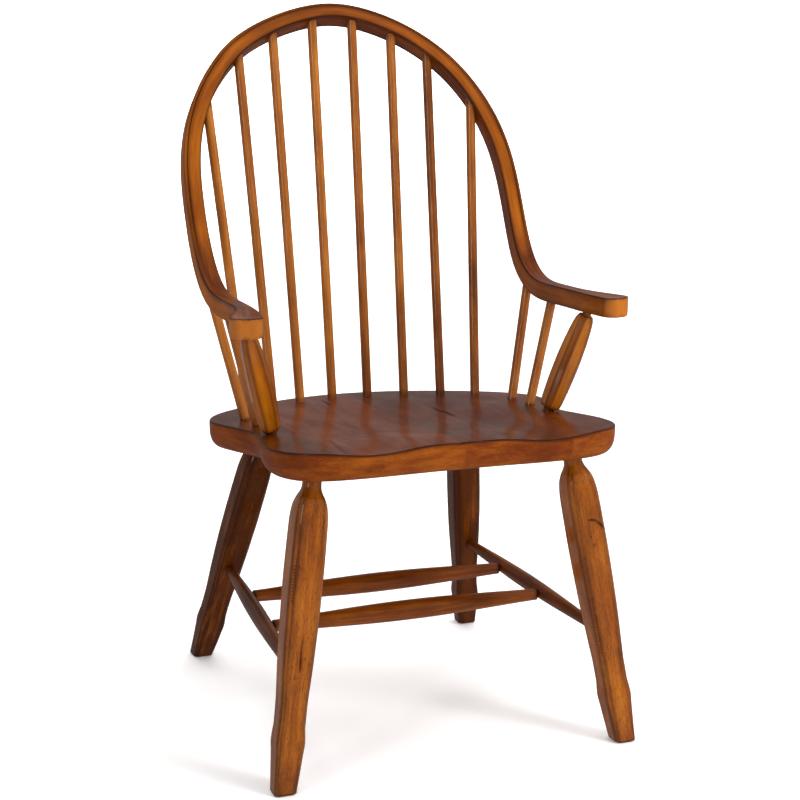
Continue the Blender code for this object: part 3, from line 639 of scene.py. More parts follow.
def rounded_outline(corners: list[tuple[float, float]], radius: float, arc_steps: int,
                    flat_steps: int) -> np.ndarray:
    """Points round a convex outline with rounded corners.

    Args:
        corners: corners in turning order.
        radius: radius at every corner, less where a side is too short for it.
        arc_steps: spans along each corner.
        flat_steps: spans along each straight side.

    Returns:
        Points, as many for any corners of the same number.
    """
    points = np.array(corners)
    made = []
    size = len(points)
    for i in range(size):
        before = points[i - 1] - points[i]
        after = points[(i + 1) % size] - points[i]
        reach_before = np.linalg.norm(before)
        reach_after = np.linalg.norm(after)
        cut = min(radius, 0.45 * reach_before, 0.45 * reach_after)
        start = points[i] + before / reach_before * cut
        end = points[i] + after / reach_after * cut
        for t in np.linspace(0.0, 1.0, arc_steps + 1):
            made.append(start * (1 - t) ** 2 + points[i] * 2 * t * (1 - t) + end * t * t)
        next_cut = min(radius, 0.45 * reach_after)
        following = points[(i + 1) % size] - after / reach_after * next_cut
        for t in np.linspace(0.0, 1.0, flat_steps + 1)[1:-1]:
            made.append(end * (1 - t) + following * t)
    return np.array(made)


def chamfered_square(side: float, chamfer: float) -> list[tuple[float, float]]:
    """Cut the corners off a square.

    Args:
        side: side of the square.
        chamfer: length cut off each end of a side, as a share of it.

    Returns:
        Eight corners in turning order.
    """
    half = side / 2.0
    cut = half - side * chamfer
    return [(half, -cut), (half, cut), (cut, half), (-cut, half),
            (-half, cut), (-half, -cut), (-cut, -half), (cut, -half)]


@dataclass
class Blemish:
    """A dark scratch or crack on a long piece, as a short stroke on its surface."""

    start: tuple[float, float]
    end: tuple[float, float]
    width: float
    strength: float = 1.0

    def cover(self, turn: np.ndarray, along: np.ndarray) -> np.ndarray:
        """Darken by distance from the stroke.

        Args:
            turn: place of each vertex across the piece.
            along: its place along the piece.

        Returns:
            Darkness at each vertex, up to the stroke's strength.
        """
        a = np.array(self.start)
        b = np.array(self.end)
        line = b - a
        at = np.stack([turn, along], axis=1) - a
        share = np.clip(at @ line / max(float(line @ line), 1e-12), 0.0, 1.0)
        away = np.linalg.norm(at - share[:, None] * line, axis=1)
        taper = self.width * (1.0 - 0.6 * np.abs(2.0 * share - 1.0))
        return self.strength * np.exp(-(away / taper) ** 2)


@dataclass(frozen=True)
class Swell:
    """Radii of a swelled stretcher, its straight ends and how far they go in."""

    tenon: float
    end: float
    middle: float
    straight: float
    inside: float
    power: float = 1.3


@dataclass
class TurnedPieces:
    """Spindles and stretchers, turned on a lathe: a Geometry Nodes tube along each path."""

    back_radii: tuple[float, float] = (0.0077, 0.0079)
    arm_radii: tuple[float, float] = (0.0076, 0.0076)
    side: Swell = Swell(0.0078, 0.0078, 0.0127, 0.0190, 0.0160)
    cross: Swell = Swell(0.0060, 0.0094, 0.0158, 0.0120, 0.0120)
    ease: float = 0.0008
    sides: int = 40
    stations: int = 90
    wobble: float = 0.00012
    joint_reach: float = 0.0035
    seat_depth: float = 0.0200
    bow_depth: float = 0.0110

    def spindle(self, length: float, low: float, high: float) -> tuple[np.ndarray, np.ndarray]:
        """Profile of a slightly tapered spindle with eased ends.

        Args:
            length: its whole length.
            low: radius at the seat.
            high: radius at the bow.

        Returns:
            Heights along the axis and the radius at each.
        """
        heights = np.concatenate([[0.0], np.linspace(self.ease, length - self.ease, self.stations),
                                  [length]])
        radii = low + (high - low) * heights / length
        radii[[0, -1]] -= self.ease
        return heights, radii

    def stretcher(self, length: float, swell: "Swell") -> tuple[np.ndarray, np.ndarray]:
        """Profile of a stretcher that swells to its middle between two straight ends.

        Args:
            length: its whole length.
            swell: its radii and the length of its straight ends.

        Returns:
            Heights along the axis and the radius at each.
        """
        body = length - 2.0 * swell.straight
        share = np.linspace(0.0, 1.0, self.stations)
        radii = swell.end + (swell.middle - swell.end) * np.sin(math.pi * share) ** swell.power
        heights = swell.straight + body * share
        low = np.array((0.0, self.ease, swell.straight - 0.0002))
        end = np.array((swell.tenon - self.ease, swell.tenon, swell.tenon))
        return (np.concatenate([low, heights, length - low[::-1]]),
                np.concatenate([end, radii, end[::-1]]))

    def tree(self) -> bpy.types.NodeTree:
        """Node tree that turns a path with a radius at each point into a smooth solid.

        Returns:
            A tree with the inputs Geometry, Sides, Wobble, Seed and Material.
        """
        tree = bpy.data.node_groups.new("turned_piece", "GeometryNodeTree")
        face = tree.interface
        face.new_socket("Geometry", in_out="INPUT", socket_type="NodeSocketGeometry")
        face.new_socket("Sides", in_out="INPUT", socket_type="NodeSocketInt")
        face.new_socket("Wobble", in_out="INPUT", socket_type="NodeSocketFloat")
        face.new_socket("Seed", in_out="INPUT", socket_type="NodeSocketFloat")
        face.new_socket("Material", in_out="INPUT", socket_type="NodeSocketMaterial")
        face.new_socket("Geometry", in_out="OUTPUT", socket_type="NodeSocketGeometry")
        given = tree.nodes.new("NodeGroupInput").outputs
        path = add_node(tree, "GeometryNodeMeshToCurve", None, {"Mesh": given["Geometry"]})
        stored = add_node(tree, "GeometryNodeInputNamedAttribute", {"data_type": "FLOAT"},
                          {"Name": "turned_radius"})
        sized = add_node(tree, "GeometryNodeSetCurveRadius", None, {
            "Curve": path.outputs[0], "Radius": stored.outputs["Attribute"]})
        circle = add_node(tree, "GeometryNodeCurvePrimitiveCircle", {"mode": "RADIUS"}, {
            "Resolution": given["Sides"], "Radius": 1.0})
        tube = add_node(tree, "GeometryNodeCurveToMesh", None, {
            "Curve": sized.outputs[0], "Profile Curve": circle.outputs["Curve"], "Fill Caps": True})
        if "Scale" in tube.inputs:
            tree.links.new(stored.outputs["Attribute"], tube.inputs["Scale"])
        ripple = add_node(tree, "ShaderNodeTexNoise", {"noise_dimensions": "4D"}, {
            "W": given["Seed"], "Scale": 38.0, "Detail": 1.0})
        centred = add_node(tree, "ShaderNodeMath", {"operation": "SUBTRACT"},
                           {0: ripple.outputs["Fac"], 1: 0.5})
        amount = add_node(tree, "ShaderNodeMath", {"operation": "MULTIPLY"},
                          {0: centred.outputs[0], 1: given["Wobble"]})
        normal = tree.nodes.new("GeometryNodeInputNormal")
        push = add_node(tree, "ShaderNodeVectorMath", {"operation": "SCALE"},
                        {0: normal.outputs[0], "Scale": amount.outputs[0]})
        moved = add_node(tree, "GeometryNodeSetPosition", None, {
            "Geometry": tube.outputs[0], "Offset": push.outputs[0]})
        smooth = add_node(tree, "GeometryNodeSetShadeSmooth", None, {"Geometry": moved.outputs[0]})
        real = add_node(tree, "GeometryNodeRealizeInstances", None, {"Geometry": smooth.outputs[0]})
        dressed = add_node(tree, "GeometryNodeSetMaterial", None, {
            "Geometry": real.outputs[0], "Material": given["Material"]})
        add_node(tree, "NodeGroupOutput", None, {"Geometry": dressed.outputs[0]})
        return tree

    def turn(self, piece: Piece, tree: bpy.types.NodeTree, axis: Axis,
             profile: tuple[np.ndarray, np.ndarray], low_joint: float,
             high_joint: float) -> bpy.types.Object:
        """Turn one piece.

        Args:
            piece: the piece to make.
            tree: the shared node tree.
            axis: its middle line.
            profile: heights along the axis and the radius at each.
            low_joint: distance from the lower end at which it leaves its socket.
            high_joint: the same at the upper end.

        Returns:
            The finished object.
        """
        heights, radius = profile
        _, _, along = axis.frame
        points = axis.foot + heights[:, None] * along
        base = bpy.data.meshes.new(piece.node + "_path")
        base.from_pydata(points.tolist(), [(i, i + 1) for i in range(len(points) - 1)], [])
        store = base.attributes.new("turned_radius", "FLOAT", "POINT")
        store.data.foreach_set("value", radius.astype(np.float32))
        holder = bpy.data.objects.new(piece.node + "_path", base)
        bpy.context.scene.collection.objects.link(holder)
        modifier = holder.modifiers.new("turned", "NODES")
        modifier.node_group = tree
        names = {item.name: item.identifier for item in tree.interface.items_tree
                 if item.in_out == "INPUT"}
        modifier[names["Sides"]] = self.sides
        modifier[names["Wobble"]] = self.wobble
        modifier[names["Seed"]] = float(piece.number)
        modifier[names["Material"]] = piece.material
        graph = bpy.context.evaluated_depsgraph_get()
        mesh = bpy.data.meshes.new_from_object(holder.evaluated_get(graph), depsgraph=graph)
        bpy.data.objects.remove(holder)
        face_outward(mesh)
        local = axis.local(np.array([v.co for v in mesh.vertices]))
        # Dark bands where the piece leaves its sockets: stain plus painted shade.
        stain_and_shade_line = np.zeros(len(local))
        for height in (low_joint, heights[-1] - high_joint):
            stain_and_shade_line += np.exp(-((local[:, 2] - height) / self.joint_reach) ** 2)
        return piece.finish(mesh, local, stain_and_shade_line=np.clip(stain_and_shade_line, 0.0, 1.0), edge_mm=1.5)

    def build(self, materials: dict[Wood, bpy.types.Material]) -> None:
        """Turn every spindle and stretcher.

        Args:
            materials: the finished materials.
        """
        tree = self.tree()
        for node in sorted(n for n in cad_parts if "spindle" in n):
            piece = Piece(node, Wood.SPINDLE, materials)
            axis = Axis.of_node(node)
            low, high = self.arm_radii if node.startswith("arm") else self.back_radii
            profile = self.spindle(axis.length, low, high)
            self.turn(piece, tree, axis, profile, self.seat_depth, self.bow_depth)
        for node in sorted(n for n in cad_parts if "stretcher" in n):
            piece = Piece(node, Wood.STRETCHER, materials)
            axis = Axis.of_node(node)
            swell = self.side if node.startswith("side") else self.cross
            profile = self.stretcher(axis.length, swell)
            self.turn(piece, tree, axis, profile, swell.inside, swell.inside)


@dataclass
class Legs:
    """The four chamfered legs with flared feet, rounded shoulders and round necks."""

    chamfer: float = 0.150
    neck_ratio: float = 0.550
    foot_chamfer: float = 0.0018
    corner_radius: float = 0.0030
    tenon_depth: float = 0.0260
    arc_steps: int = 4
    flat_steps: int = 16
    stations: int = 310
    hollow_depth: float = 0.00030
    hollow_waves: tuple[float, float, float] = (60.0, 60.0, 22.0)
    hollow_start: float = 0.004
    hollow_ease: float = 0.020
    front_tint: float = 0.35
    # Painted shade: the back legs are tinted darker for the shade under the seat.
    back_shade_tint: float = 1.30
    back_gloss: float = 0.4
    joint_reach: float = 0.005
    sides: tuple[float, float] = (0.0512, 0.0496)
    # Share of the way from the foot to the seat, side as a share of the full side, roundness.
    sections: tuple[tuple[float, float, float], ...] = (
        (0.0, 0.652, 0.0), (0.072, 0.745, 0.0), (0.125, 0.805, 0.0), (0.160, 0.850, 0.0),
        (0.182, 0.832, 0.0), (0.215, 0.790, 0.0), (0.270, 0.792, 0.0), (0.340, 0.838, 0.0),
        (0.420, 0.900, 0.0), (0.520, 0.955, 0.0), (0.640, 0.988, 0.0), (0.740, 1.000, 0.02),
        (0.846, 1.000, 0.06), (0.898, 0.968, 0.16), (0.928, 0.895, 0.38), (0.948, 0.780, 0.70),
        (0.963, 0.650, 0.92), (0.975, 0.590, 1.0), (1.0, 0.550, 1.0),
    )

    def build_one(self, piece: Piece, side: float) -> bpy.types.Object:
        """Loft one leg.

        Args:
            piece: the piece to make.
            side: full side of its square, in metres.

        Returns:
            The finished object.
        """
        axis = Axis.of_node(piece.node)
        raw = np.array([v.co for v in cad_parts[piece.node].data.vertices])
        base = np.unique(raw[raw[:, 2] < 1e-6].round(6), axis=0)
        axis.foot = (base.min(axis=0) + base.max(axis=0)) / 2.0
        across, into, along = axis.frame
        neck = side * self.neck_ratio / 2.0
        reach = axis.length - self.tenon_depth
        table = np.array(self.sections)
        body = np.unique(np.concatenate([np.linspace(0.0, 1.0, self.stations), table[:, 0]]))
        ratios = even_curve(table[:, 0], table[:, 1], body)
        rounds = even_curve(table[:, 0], table[:, 2], body)
        rings = []
        for share, ratio, roundness in zip(body, ratios, rounds):
            corners = chamfered_square(side * ratio, self.chamfer)
            flat = rounded_outline(corners, self.corner_radius, self.arc_steps, self.flat_steps)
            circle = flat / np.linalg.norm(flat, axis=1)[:, None] * neck
            at = flat * (1.0 - roundness) + circle * roundness
            centre = axis.foot + along * reach * share
            ring = centre + at[:, :1] * across + at[:, 1:] * into
            if share < table[1, 0]:
                lift = self.foot_chamfer if share == 0.0 else 0.0
                level = reach * share * along[2] + lift
                slide = ((ring[:, 2] - level) / along[2])[:, None] * (1.0 - share / table[1, 0])
                ring = ring - slide * along
            rings.append(ring)
        rings = self.close_ends(rings, axis, reach)
        mesh = loft_mesh(piece.node, np.array(rings))
        self.hand_shape(mesh, axis, piece, reach)
        places = np.array([v.co for v in mesh.vertices])
        local = axis.local(places)
        # Dark band where the leg goes into the seat: stain plus painted shade under the seat.
        stain_and_shade_line = np.exp(-((local[:, 2] - reach) / self.joint_reach) ** 2)
        gloss = np.full(len(local), 1.0 if "front" in piece.node else self.back_gloss)
        return piece.finish(mesh, local, stain_and_shade_line=stain_and_shade_line, gloss=gloss,
                            mark_and_crease_shade=self.marks(piece.node, local))

    def close_ends(self, rings: list[np.ndarray], axis: Axis, reach: float) -> list[np.ndarray]:
        """Add the foot's chamfered face and the tenon.

        Args:
            rings: rings of the leg's body, from the foot up.
            axis: its middle line.
            reach: length below the seat.

        Returns:
            All rings, from the sole to the tenon's end.
        """
        along = axis.frame[2]
        low = rings[0]
        middle = low.mean(axis=0)
        inset = 1.0 - self.foot_chamfer / np.abs(low - middle).max()
        sole = middle + (low - middle) * inset
        sole = sole - ((sole[:, 2]) / along[2])[:, None] * along
        unit = rings[-1] - (axis.foot + along * reach)
        tenon = axis.foot + along * (axis.length - 0.001) + unit
        tip = axis.foot + along * axis.length + unit * 0.9
        return [sole] + rings + [tenon, tip]

    def hand_shape(self, mesh: bpy.types.Mesh, axis: Axis, piece: Piece, reach: float) -> None:
        """Give the faces the faint hollows of hand scraping, inward only.

        Args:
            mesh: the leg's mesh, changed in place.
            axis: its middle line.
            piece: the piece, whose number seeds the hollows.
            reach: length below the seat.
        """
        places, normals = mesh_arrays(mesh)
        seed = Vector((piece.number * 3.1, 0.0, 0.0))
        scaled = places * np.array(self.hollow_waves)
        wave = np.array([noise.noise(Vector(at) + seed) for at in scaled])
        ease = np.clip((places[:, 2] - self.hollow_start) / self.hollow_ease, 0.0, 1.0)
        shown = np.linalg.norm(places - axis.foot, axis=1) < reach
        amount = self.hollow_depth * 0.5 * (1.0 + wave) * ease * shown
        mesh.vertices.foreach_set("co", (places - normals * amount[:, None]).ravel())
        mesh.update()

    @staticmethod
    def chatter(across: float, top: float, count: int) -> list[Blemish]:
        """Make a row of short cross ticks, as a scraper leaves them down one corner of a leg.

        Args:
            across: place of the row across the leg.
            top: height of its first tick along the leg.
            count: number of ticks.

        Returns:
            The ticks.
        """
        heights = [top - 0.0045 * step for step in range(count)]
        return [Blemish((across, at), (across + 0.003, at - 0.001), 0.0014, 0.6) for at in heights]

    def marks(self, node: str, local: np.ndarray) -> np.ndarray:
        """Draw the dark cracks and scratches where the photographed legs have them.

        Args:
            node: name of the leg.
            local: across, into and along of each vertex.

        Returns:
            Darkness at each vertex.
        """
        total = np.zeros(len(local))
        turn = local[:, 0]
        front = local[:, 1] < 0.0
        strokes: dict[str, list[Blemish]] = {
            "leg_front_left": [
                Blemish((0.001, 0.232), (0.000, 0.205), 0.0011, 0.8),
                Blemish((0.000, 0.205), (0.001, 0.176), 0.0019),
                Blemish((0.006, 0.196), (0.006, 0.194), 0.0014, 0.8),
                Blemish((0.001, 0.168), (0.001, 0.166), 0.0014, 0.7),
            ] + self.chatter(-0.022, 0.326, 12),
            "leg_front_right": [
                Blemish((-0.004, 0.351), (0.008, 0.348), 0.0019),
                Blemish((0.008, 0.348), (0.023, 0.330), 0.0021),
                Blemish((-0.004, 0.325), (-0.004, 0.324), 0.0015),
                Blemish((-0.002, 0.312), (-0.002, 0.311), 0.0014, 0.9),
            ] + self.chatter(-0.019, 0.205, 14),
        }
        for stroke in strokes.get(node, []):
            total += np.where(front, stroke.cover(turn, local[:, 2]), 0.0)
        return np.clip(total, 0.0, 1.0)

    def build(self, materials: dict[Wood, bpy.types.Material]) -> None:
        """Loft the four legs.

        Args:
            materials: the finished materials.
        """
        for place, side in zip(("front", "back"), self.sides):
            for hand in ("left", "right"):
                piece = Piece("leg_%s_%s" % (place, hand), Wood.LEG, materials)
                # The back legs' darker tone is painted shade.
                piece.tone_light_and_shade = self.front_tint if place == "front" else self.back_shade_tint
                self.build_one(piece, side)


@dataclass
class ArmPosts:
    """The two chamfered square posts under the arms."""

    side: float = 0.0334
    foot_neck: float = 0.0085
    top_neck: float = 0.0068
    neck_show: float = 0.0070
    seat_depth: float = 0.0200
    arm_depth: float = 0.0120
    corner_radius: float = 0.0011
    chamfer: float = 0.20
    ease: float = 0.0008
    arc_steps: int = 4
    flat_steps: int = 6
    stations: int = 110
    face_tint: float = 0.10
    # Painted shade: the chamfer facets are tinted darker to give the facets the contrast of light.
    chamfer_shade_tint: float = 0.55
    # Share of the way up the body, side as a share of the full side, chamfer as a share of it.
    sections: tuple[tuple[float, float, float], ...] = (
        (0.00, 0.74, 0.20), (0.035, 0.88, 0.22), (0.13, 0.935, 0.21), (0.30, 0.985, 0.20),
        (0.48, 1.00, 0.20), (0.66, 0.96, 0.20), (0.83, 0.87, 0.21), (0.95, 0.75, 0.22),
        (1.00, 0.60, 0.24),
    )

    def neck_ring(self, axis: Axis, height: float, radius: float) -> np.ndarray:
        """Make a ring of the round neck with as many points as the body's rings.

        Args:
            axis: the post's middle line.
            height: place along it.
            radius: radius of the neck.

        Returns:
            The ring's points.
        """
        across, into, along = axis.frame
        flat = rounded_outline(chamfered_square(1.0, self.chamfer), 0.06, self.arc_steps, self.flat_steps)
        at = flat / np.linalg.norm(flat, axis=1)[:, None] * radius
        return axis.foot + along * height + at[:, :1] * across + at[:, 1:] * into

    def body_ring(self, axis: Axis, height: float, ratio: float, cut: float) -> np.ndarray:
        """Make a ring of the chamfered body.

        Args:
            axis: the post's middle line.
            height: place along it.
            ratio: side here as a share of the full side.
            cut: chamfer as a share of the side.

        Returns:
            The ring's points.
        """
        across, into, along = axis.frame
        corners = chamfered_square(self.side * ratio, cut)
        flat = rounded_outline(corners, self.corner_radius, self.arc_steps, self.flat_steps)
        return axis.foot + along * height + flat[:, :1] * across + flat[:, 1:] * into

    def build_one(self, piece: Piece) -> bpy.types.Object:
        """Loft one post.

        Args:
            piece: the piece to make.

        Returns:
            The finished object.
        """
        axis = Axis.of_node(piece.node)
        low = self.seat_depth + self.neck_show
        high = axis.length - self.arm_depth - self.neck_show
        table = np.array(self.sections)
        shares = np.linspace(0.0, 1.0, self.stations)
        ratios = even_curve(table[:, 0], table[:, 1], shares)
        cuts = even_curve(table[:, 0], table[:, 2], shares)
        rings = [self.neck_ring(axis, height, self.foot_neck - ease) for height, ease in
                 ((0.0, self.ease), (self.ease, 0.0), (low - 0.0015, 0.0), (low - 0.0002, 0.0))]
        rings += [self.body_ring(axis, low + (high - low) * share, ratio, cut)
                  for share, ratio, cut in zip(shares, ratios, cuts)]
        rings += [self.neck_ring(axis, height, self.top_neck - ease) for height, ease in
                  ((high + 0.0002, 0.0), (high + 0.0015, 0.0), (axis.length - self.ease, 0.0),
                   (axis.length, self.ease))]
        mesh = loft_mesh(piece.node, np.array(rings))
        local = axis.local(np.array([v.co for v in mesh.vertices]))
        # Dark bands at both necks: stain plus painted shade where the post meets seat and arm.
        stain_and_shade_line = np.exp(-((local[:, 2] - self.seat_depth) / 0.006) ** 2)
        stain_and_shade_line += 0.7 * np.exp(-((local[:, 2] - axis.length + self.arm_depth) / 0.004) ** 2)
        # Painted shade on the chamfer facets, over the posts' own tone.
        lean = np.abs(np.abs(local[:, 0]) - np.abs(local[:, 1])) / self.side
        chamfer = 1.0 - smooth_step(lean, 0.22, 0.28)
        tone_light_and_shade = self.face_tint + self.chamfer_shade_tint * chamfer
        return piece.finish(mesh, local, stain_and_shade_line=np.clip(stain_and_shade_line, 0.0, 1.0), tone_light_and_shade=tone_light_and_shade)

    def build(self, materials: dict[Wood, bpy.types.Material]) -> None:
        """Loft both posts.

        Args:
            materials: the finished materials.
        """
        for hand in ("left", "right"):
            self.build_one(Piece("arm_post_" + hand, Wood.POST, materials))


@dataclass
class Bow:
    """The bent and moulded bow that makes the back's arch and both arms."""

    depth: float = 0.0299
    front_round: float = 0.0022
    back_round: float = 0.0040
    bead_offset: float = 0.0058
    bead_half: float = 0.0011
    bead_depth: float = 0.0016
    arm_end_round: float = 0.0155
    arm_end_trim: float = 0.0006
    bead_fade: tuple[float, float] = (0.2225, 0.3075)
    crest_fade: tuple[float, float] = (0.5700, 0.6300)
    steps: int = 560
    # Crest to arm end, on the middle of the front face: x, y, height above DECK_Z, face width,
    # angle of the depth direction below the horizontal.
    stations: tuple[tuple[float, float, float, float, float], ...] = (
        (0.0000, 0.3032, 0.6363, 0.0270, 39.5), (0.0665, 0.3020, 0.6257, 0.0273, 38.5),
        (0.1210, 0.2985, 0.6049, 0.0276, 37.0), (0.1614, 0.2910, 0.5815, 0.0278, 36.0),
        (0.1960, 0.2730, 0.5514, 0.0279, 34.0), (0.2283, 0.2504, 0.5100, 0.0279, 31.5),
        (0.2529, 0.2247, 0.4611, 0.0279, 29.0), (0.2683, 0.1915, 0.3966, 0.0280, 28.0),
        (0.2715, 0.1590, 0.3325, 0.0281, 29.0), (0.2708, 0.1320, 0.2830, 0.0285, 33.0),
        (0.2690, 0.1040, 0.2470, 0.0290, 47.0), (0.2670, 0.0650, 0.2220, 0.0285, 68.0),
        (0.2650, 0.0200, 0.2130, 0.0265, 84.0), (0.2647, -0.0300, 0.2130, 0.0252, 90.0),
        (0.2662, -0.0850, 0.2145, 0.0258, 91.0), (0.2722, -0.1260, 0.2150, 0.0334, 91.0),
        (0.2796, -0.1535, 0.2152, 0.0418, 91.0), (0.2868, -0.1758, 0.2152, 0.0480, 91.0),
    )

    def frames(self, where: np.ndarray) -> tuple:
        """Read the path.

        Args:
            where: places along the path, as shares of its length from the left arm's end.

        Returns:
            Length of the path, then middle, tangent, outward and inward direction and face width
            at each place.
        """
        right = np.array(self.stations) + np.array((0.0, -ORIGIN_Y, DECK_Z, 0.0, 0.0))
        left = right[:0:-1] * np.array((-1.0, 1.0, 1.0, 1.0, 1.0))
        rows = np.concatenate([left, right])
        run = np.concatenate([[0.0], np.cumsum(np.linalg.norm(np.diff(rows[:, :3], axis=0), axis=1))])
        length = float(run[-1])
        at = spline(run, rows, where * length)
        step = 0.0005 / length
        high = spline(run, rows[:, :3], np.clip(where + step, 0.0, 1.0) * length)
        low = spline(run, rows[:, :3], np.clip(where - step, 0.0, 1.0) * length)
        tangent = (high - low) / np.linalg.norm(high - low, axis=1)[:, None]
        lean = np.radians(at[:, 4])
        inward = np.stack([np.zeros(len(at)), np.cos(lean), -np.sin(lean)], axis=1)
        inward -= np.sum(inward * tangent, axis=1)[:, None] * tangent
        inward /= np.linalg.norm(inward, axis=1)[:, None]
        return length, at[:, :3], tangent, np.cross(tangent, inward), inward, at[:, 3] - 0.0001

    def section(self, width: float, bead: float) -> np.ndarray:
        """Section of the bow, across and into, with rounded edges and the bead's groove.

        Args:
            width: width of the moulded front face.
            bead: depth of the groove here.

        Returns:
            Points round the section, always as many.
        """
        half = width / 2.0
        groove = half - self.bead_offset
        made = []

        def arc(cx: float, cy: float, radius: float, start: float) -> None:
            """Add a quarter round, turning with the outline."""
            for t in np.linspace(0.0, 90.0, 7):
                angle = math.radians(start + t)
                made.append((cx + radius * math.cos(angle), cy + radius * math.sin(angle)))

        f, b = self.front_round, self.back_round
        arc(-half + f, f, f, 180.0)
        for t in np.linspace(0.0, 1.0, 9)[1:-1]:
            made.append((-half + f + (groove - self.bead_half * 2 + half - f) * t, 0.0))
        for t in np.linspace(-1.0, 1.0, 13):
            fall = 0.5 + 0.5 * math.cos(math.pi * t)
            made.append((groove + t * self.bead_half * 1.6, bead * fall))
        crown = (groove + self.bead_half * 1.6 + half - f) / 2.0
        made.append((crown, 0.0))
        arc(half - f, f, f, 270.0)
        for t in np.linspace(0.0, 1.0, 7)[1:-1]:
            made.append((half, f + (self.depth - b - f) * t))
        arc(half - b, self.depth - b, b, 0.0)
        for t in np.linspace(0.0, 1.0, 9)[1:-1]:
            made.append((half - b - (width - 2 * b) * t, self.depth))
        arc(-half + b, self.depth - b, b, 90.0)
        for t in np.linspace(0.0, 1.0, 7)[1:-1]:
            made.append((-half, self.depth - b - (self.depth - b - f) * t))
        return np.array(made)

    def end_rows(self, last: tuple, tangent: np.ndarray, sign: float) -> list[tuple]:
        """Round an arm's end off and close it with shrinking rings.

        Args:
            last: middle, outward, inward, width and run of the path's last place.
            tangent: direction of the path there.
            sign: 1 at the path's end and -1 at its start.

        Returns:
            One row for each ring: the five values of last, and a scale about the middle.
        """
        middle, outward, inward, width, run = last
        rows = []
        for angle in np.linspace(6.0, 88.0, 14):
            turn = math.radians(float(angle))
            reach = self.arm_end_round * math.sin(turn)
            narrow = width - 2.0 * self.arm_end_round * (1.0 - math.cos(turn))
            narrow -= self.arm_end_trim * min(1.0, float(angle) / 12.0)
            at = middle + sign * tangent * reach
            rows.append((at, outward, inward, narrow, run + sign * reach, 1.0))
        return rows + [rows[-1][:5] + (shrink,) for shrink in (0.90, 0.72, 0.45, 0.20)]

    def shades(self, flat: np.ndarray, wide: float, height: float) -> tuple[np.ndarray, np.ndarray]:
        """Darken the bead and the arm's rims, paint shade on the inner side and arm tops, and deepen the
        crest's tone.

        Args:
            flat: points of the section.
            wide: width of its front face.
            height: height above DECK_Z.

        Returns:
            Darkness of the lines, with painted shade in the bead, and tone of the wood with its painted
            shade at each point.
        """
        fade = float(smooth_step(height, *self.bead_fade))
        crest = float(smooth_step(height, *self.crest_fade))
        front = flat[:, 1] < 0.002
        # The bead's dark line is stain plus painted shade in its groove; the rims are stain.
        bead = np.exp(-((flat[:, 0] - (wide / 2 - self.bead_offset)) / self.bead_half) ** 2)
        rim = np.exp(-((np.abs(flat[:, 0]) - wide / 2 + 0.0006) / 0.0014) ** 2)
        inner = smooth_step(-flat[:, 0] - wide / 2, -0.0020, -0.0005)
        # Painted shade darkens the inner side and the arm tops; the crest is deepened as well.
        tone_light_and_shade = 0.30 + 0.65 * inner * fade + 0.75 * (1.0 - fade) * front + 0.30 * crest
        return np.where(front, bead * fade + 0.7 * rim * (1.0 - fade), 0.0), tone_light_and_shade

    def build(self, materials: dict[Wood, bpy.types.Material]) -> None:
        """Loft the bow with its blunt arm ends.

        Args:
            materials: the finished materials.
        """
        piece = Piece("bow", Wood.BOW, materials)
        where = np.linspace(0.0, 1.0, self.steps + 1)
        length, middle, tangent, outward, inward, width = self.frames(where)
        rows = list(zip(middle, outward, inward, width, where * length))
        start = self.end_rows(rows[0], tangent[0], -1.0)
        end = self.end_rows(rows[-1], tangent[-1], 1.0)
        rings = []
        grain = []
        stain_and_shade_line = []
        tone_light_and_shade = []
        for at, out, into, wide, run, shrink in start[::-1] + [row + (1.0,) for row in rows] + end:
            height = at[2] - DECK_Z
            core = np.array((0.0, self.depth / 2.0))
            bead = self.bead_depth * float(smooth_step(height, *self.bead_fade))
            flat = core + (self.section(wide, bead) - core) * shrink
            rings.append(at + flat[:, :1] * out + flat[:, 1:] * into)
            grain.append(np.column_stack([flat, np.full(len(flat), run)]))
            dark, tone = self.shades(flat, wide, height)
            stain_and_shade_line.append(dark)
            tone_light_and_shade.append(tone)
        mesh = loft_mesh("bow", np.array(rings))
        place = np.concatenate(grain)
        place = np.concatenate([place, place[:1], place[-1:]])
        line = np.clip(np.concatenate([np.concatenate(stain_and_shade_line), [0.0, 0.0]]), 0.0, 1.0)
        tone = np.concatenate([np.concatenate(tone_light_and_shade), [0.3, 0.3]])
        outer = smooth_step(place[:, 0], 0.0100, 0.0130) * (place[:, 1] > 0.003)
        past = np.maximum(-place[:, 2], place[:, 2] - length)
        at_end = smooth_step(past, 0.0, 0.010)
        facing = smooth_step(place[:, 1], 0.0010, 0.0030)
        # Painted light: the arm ends' faces are tinted lighter where they catch the light, and lose their
        # dark lines.
        piece.finish(mesh, place, stain_and_shade_line=line * (1.0 - at_end * facing),
                     tone_light_and_shade=tone - 1.20 * at_end * facing,
                     gloss=1.0 - 0.6 * outer * (1.0 - at_end) + 1.6 * at_end, edge_mm=3.0)


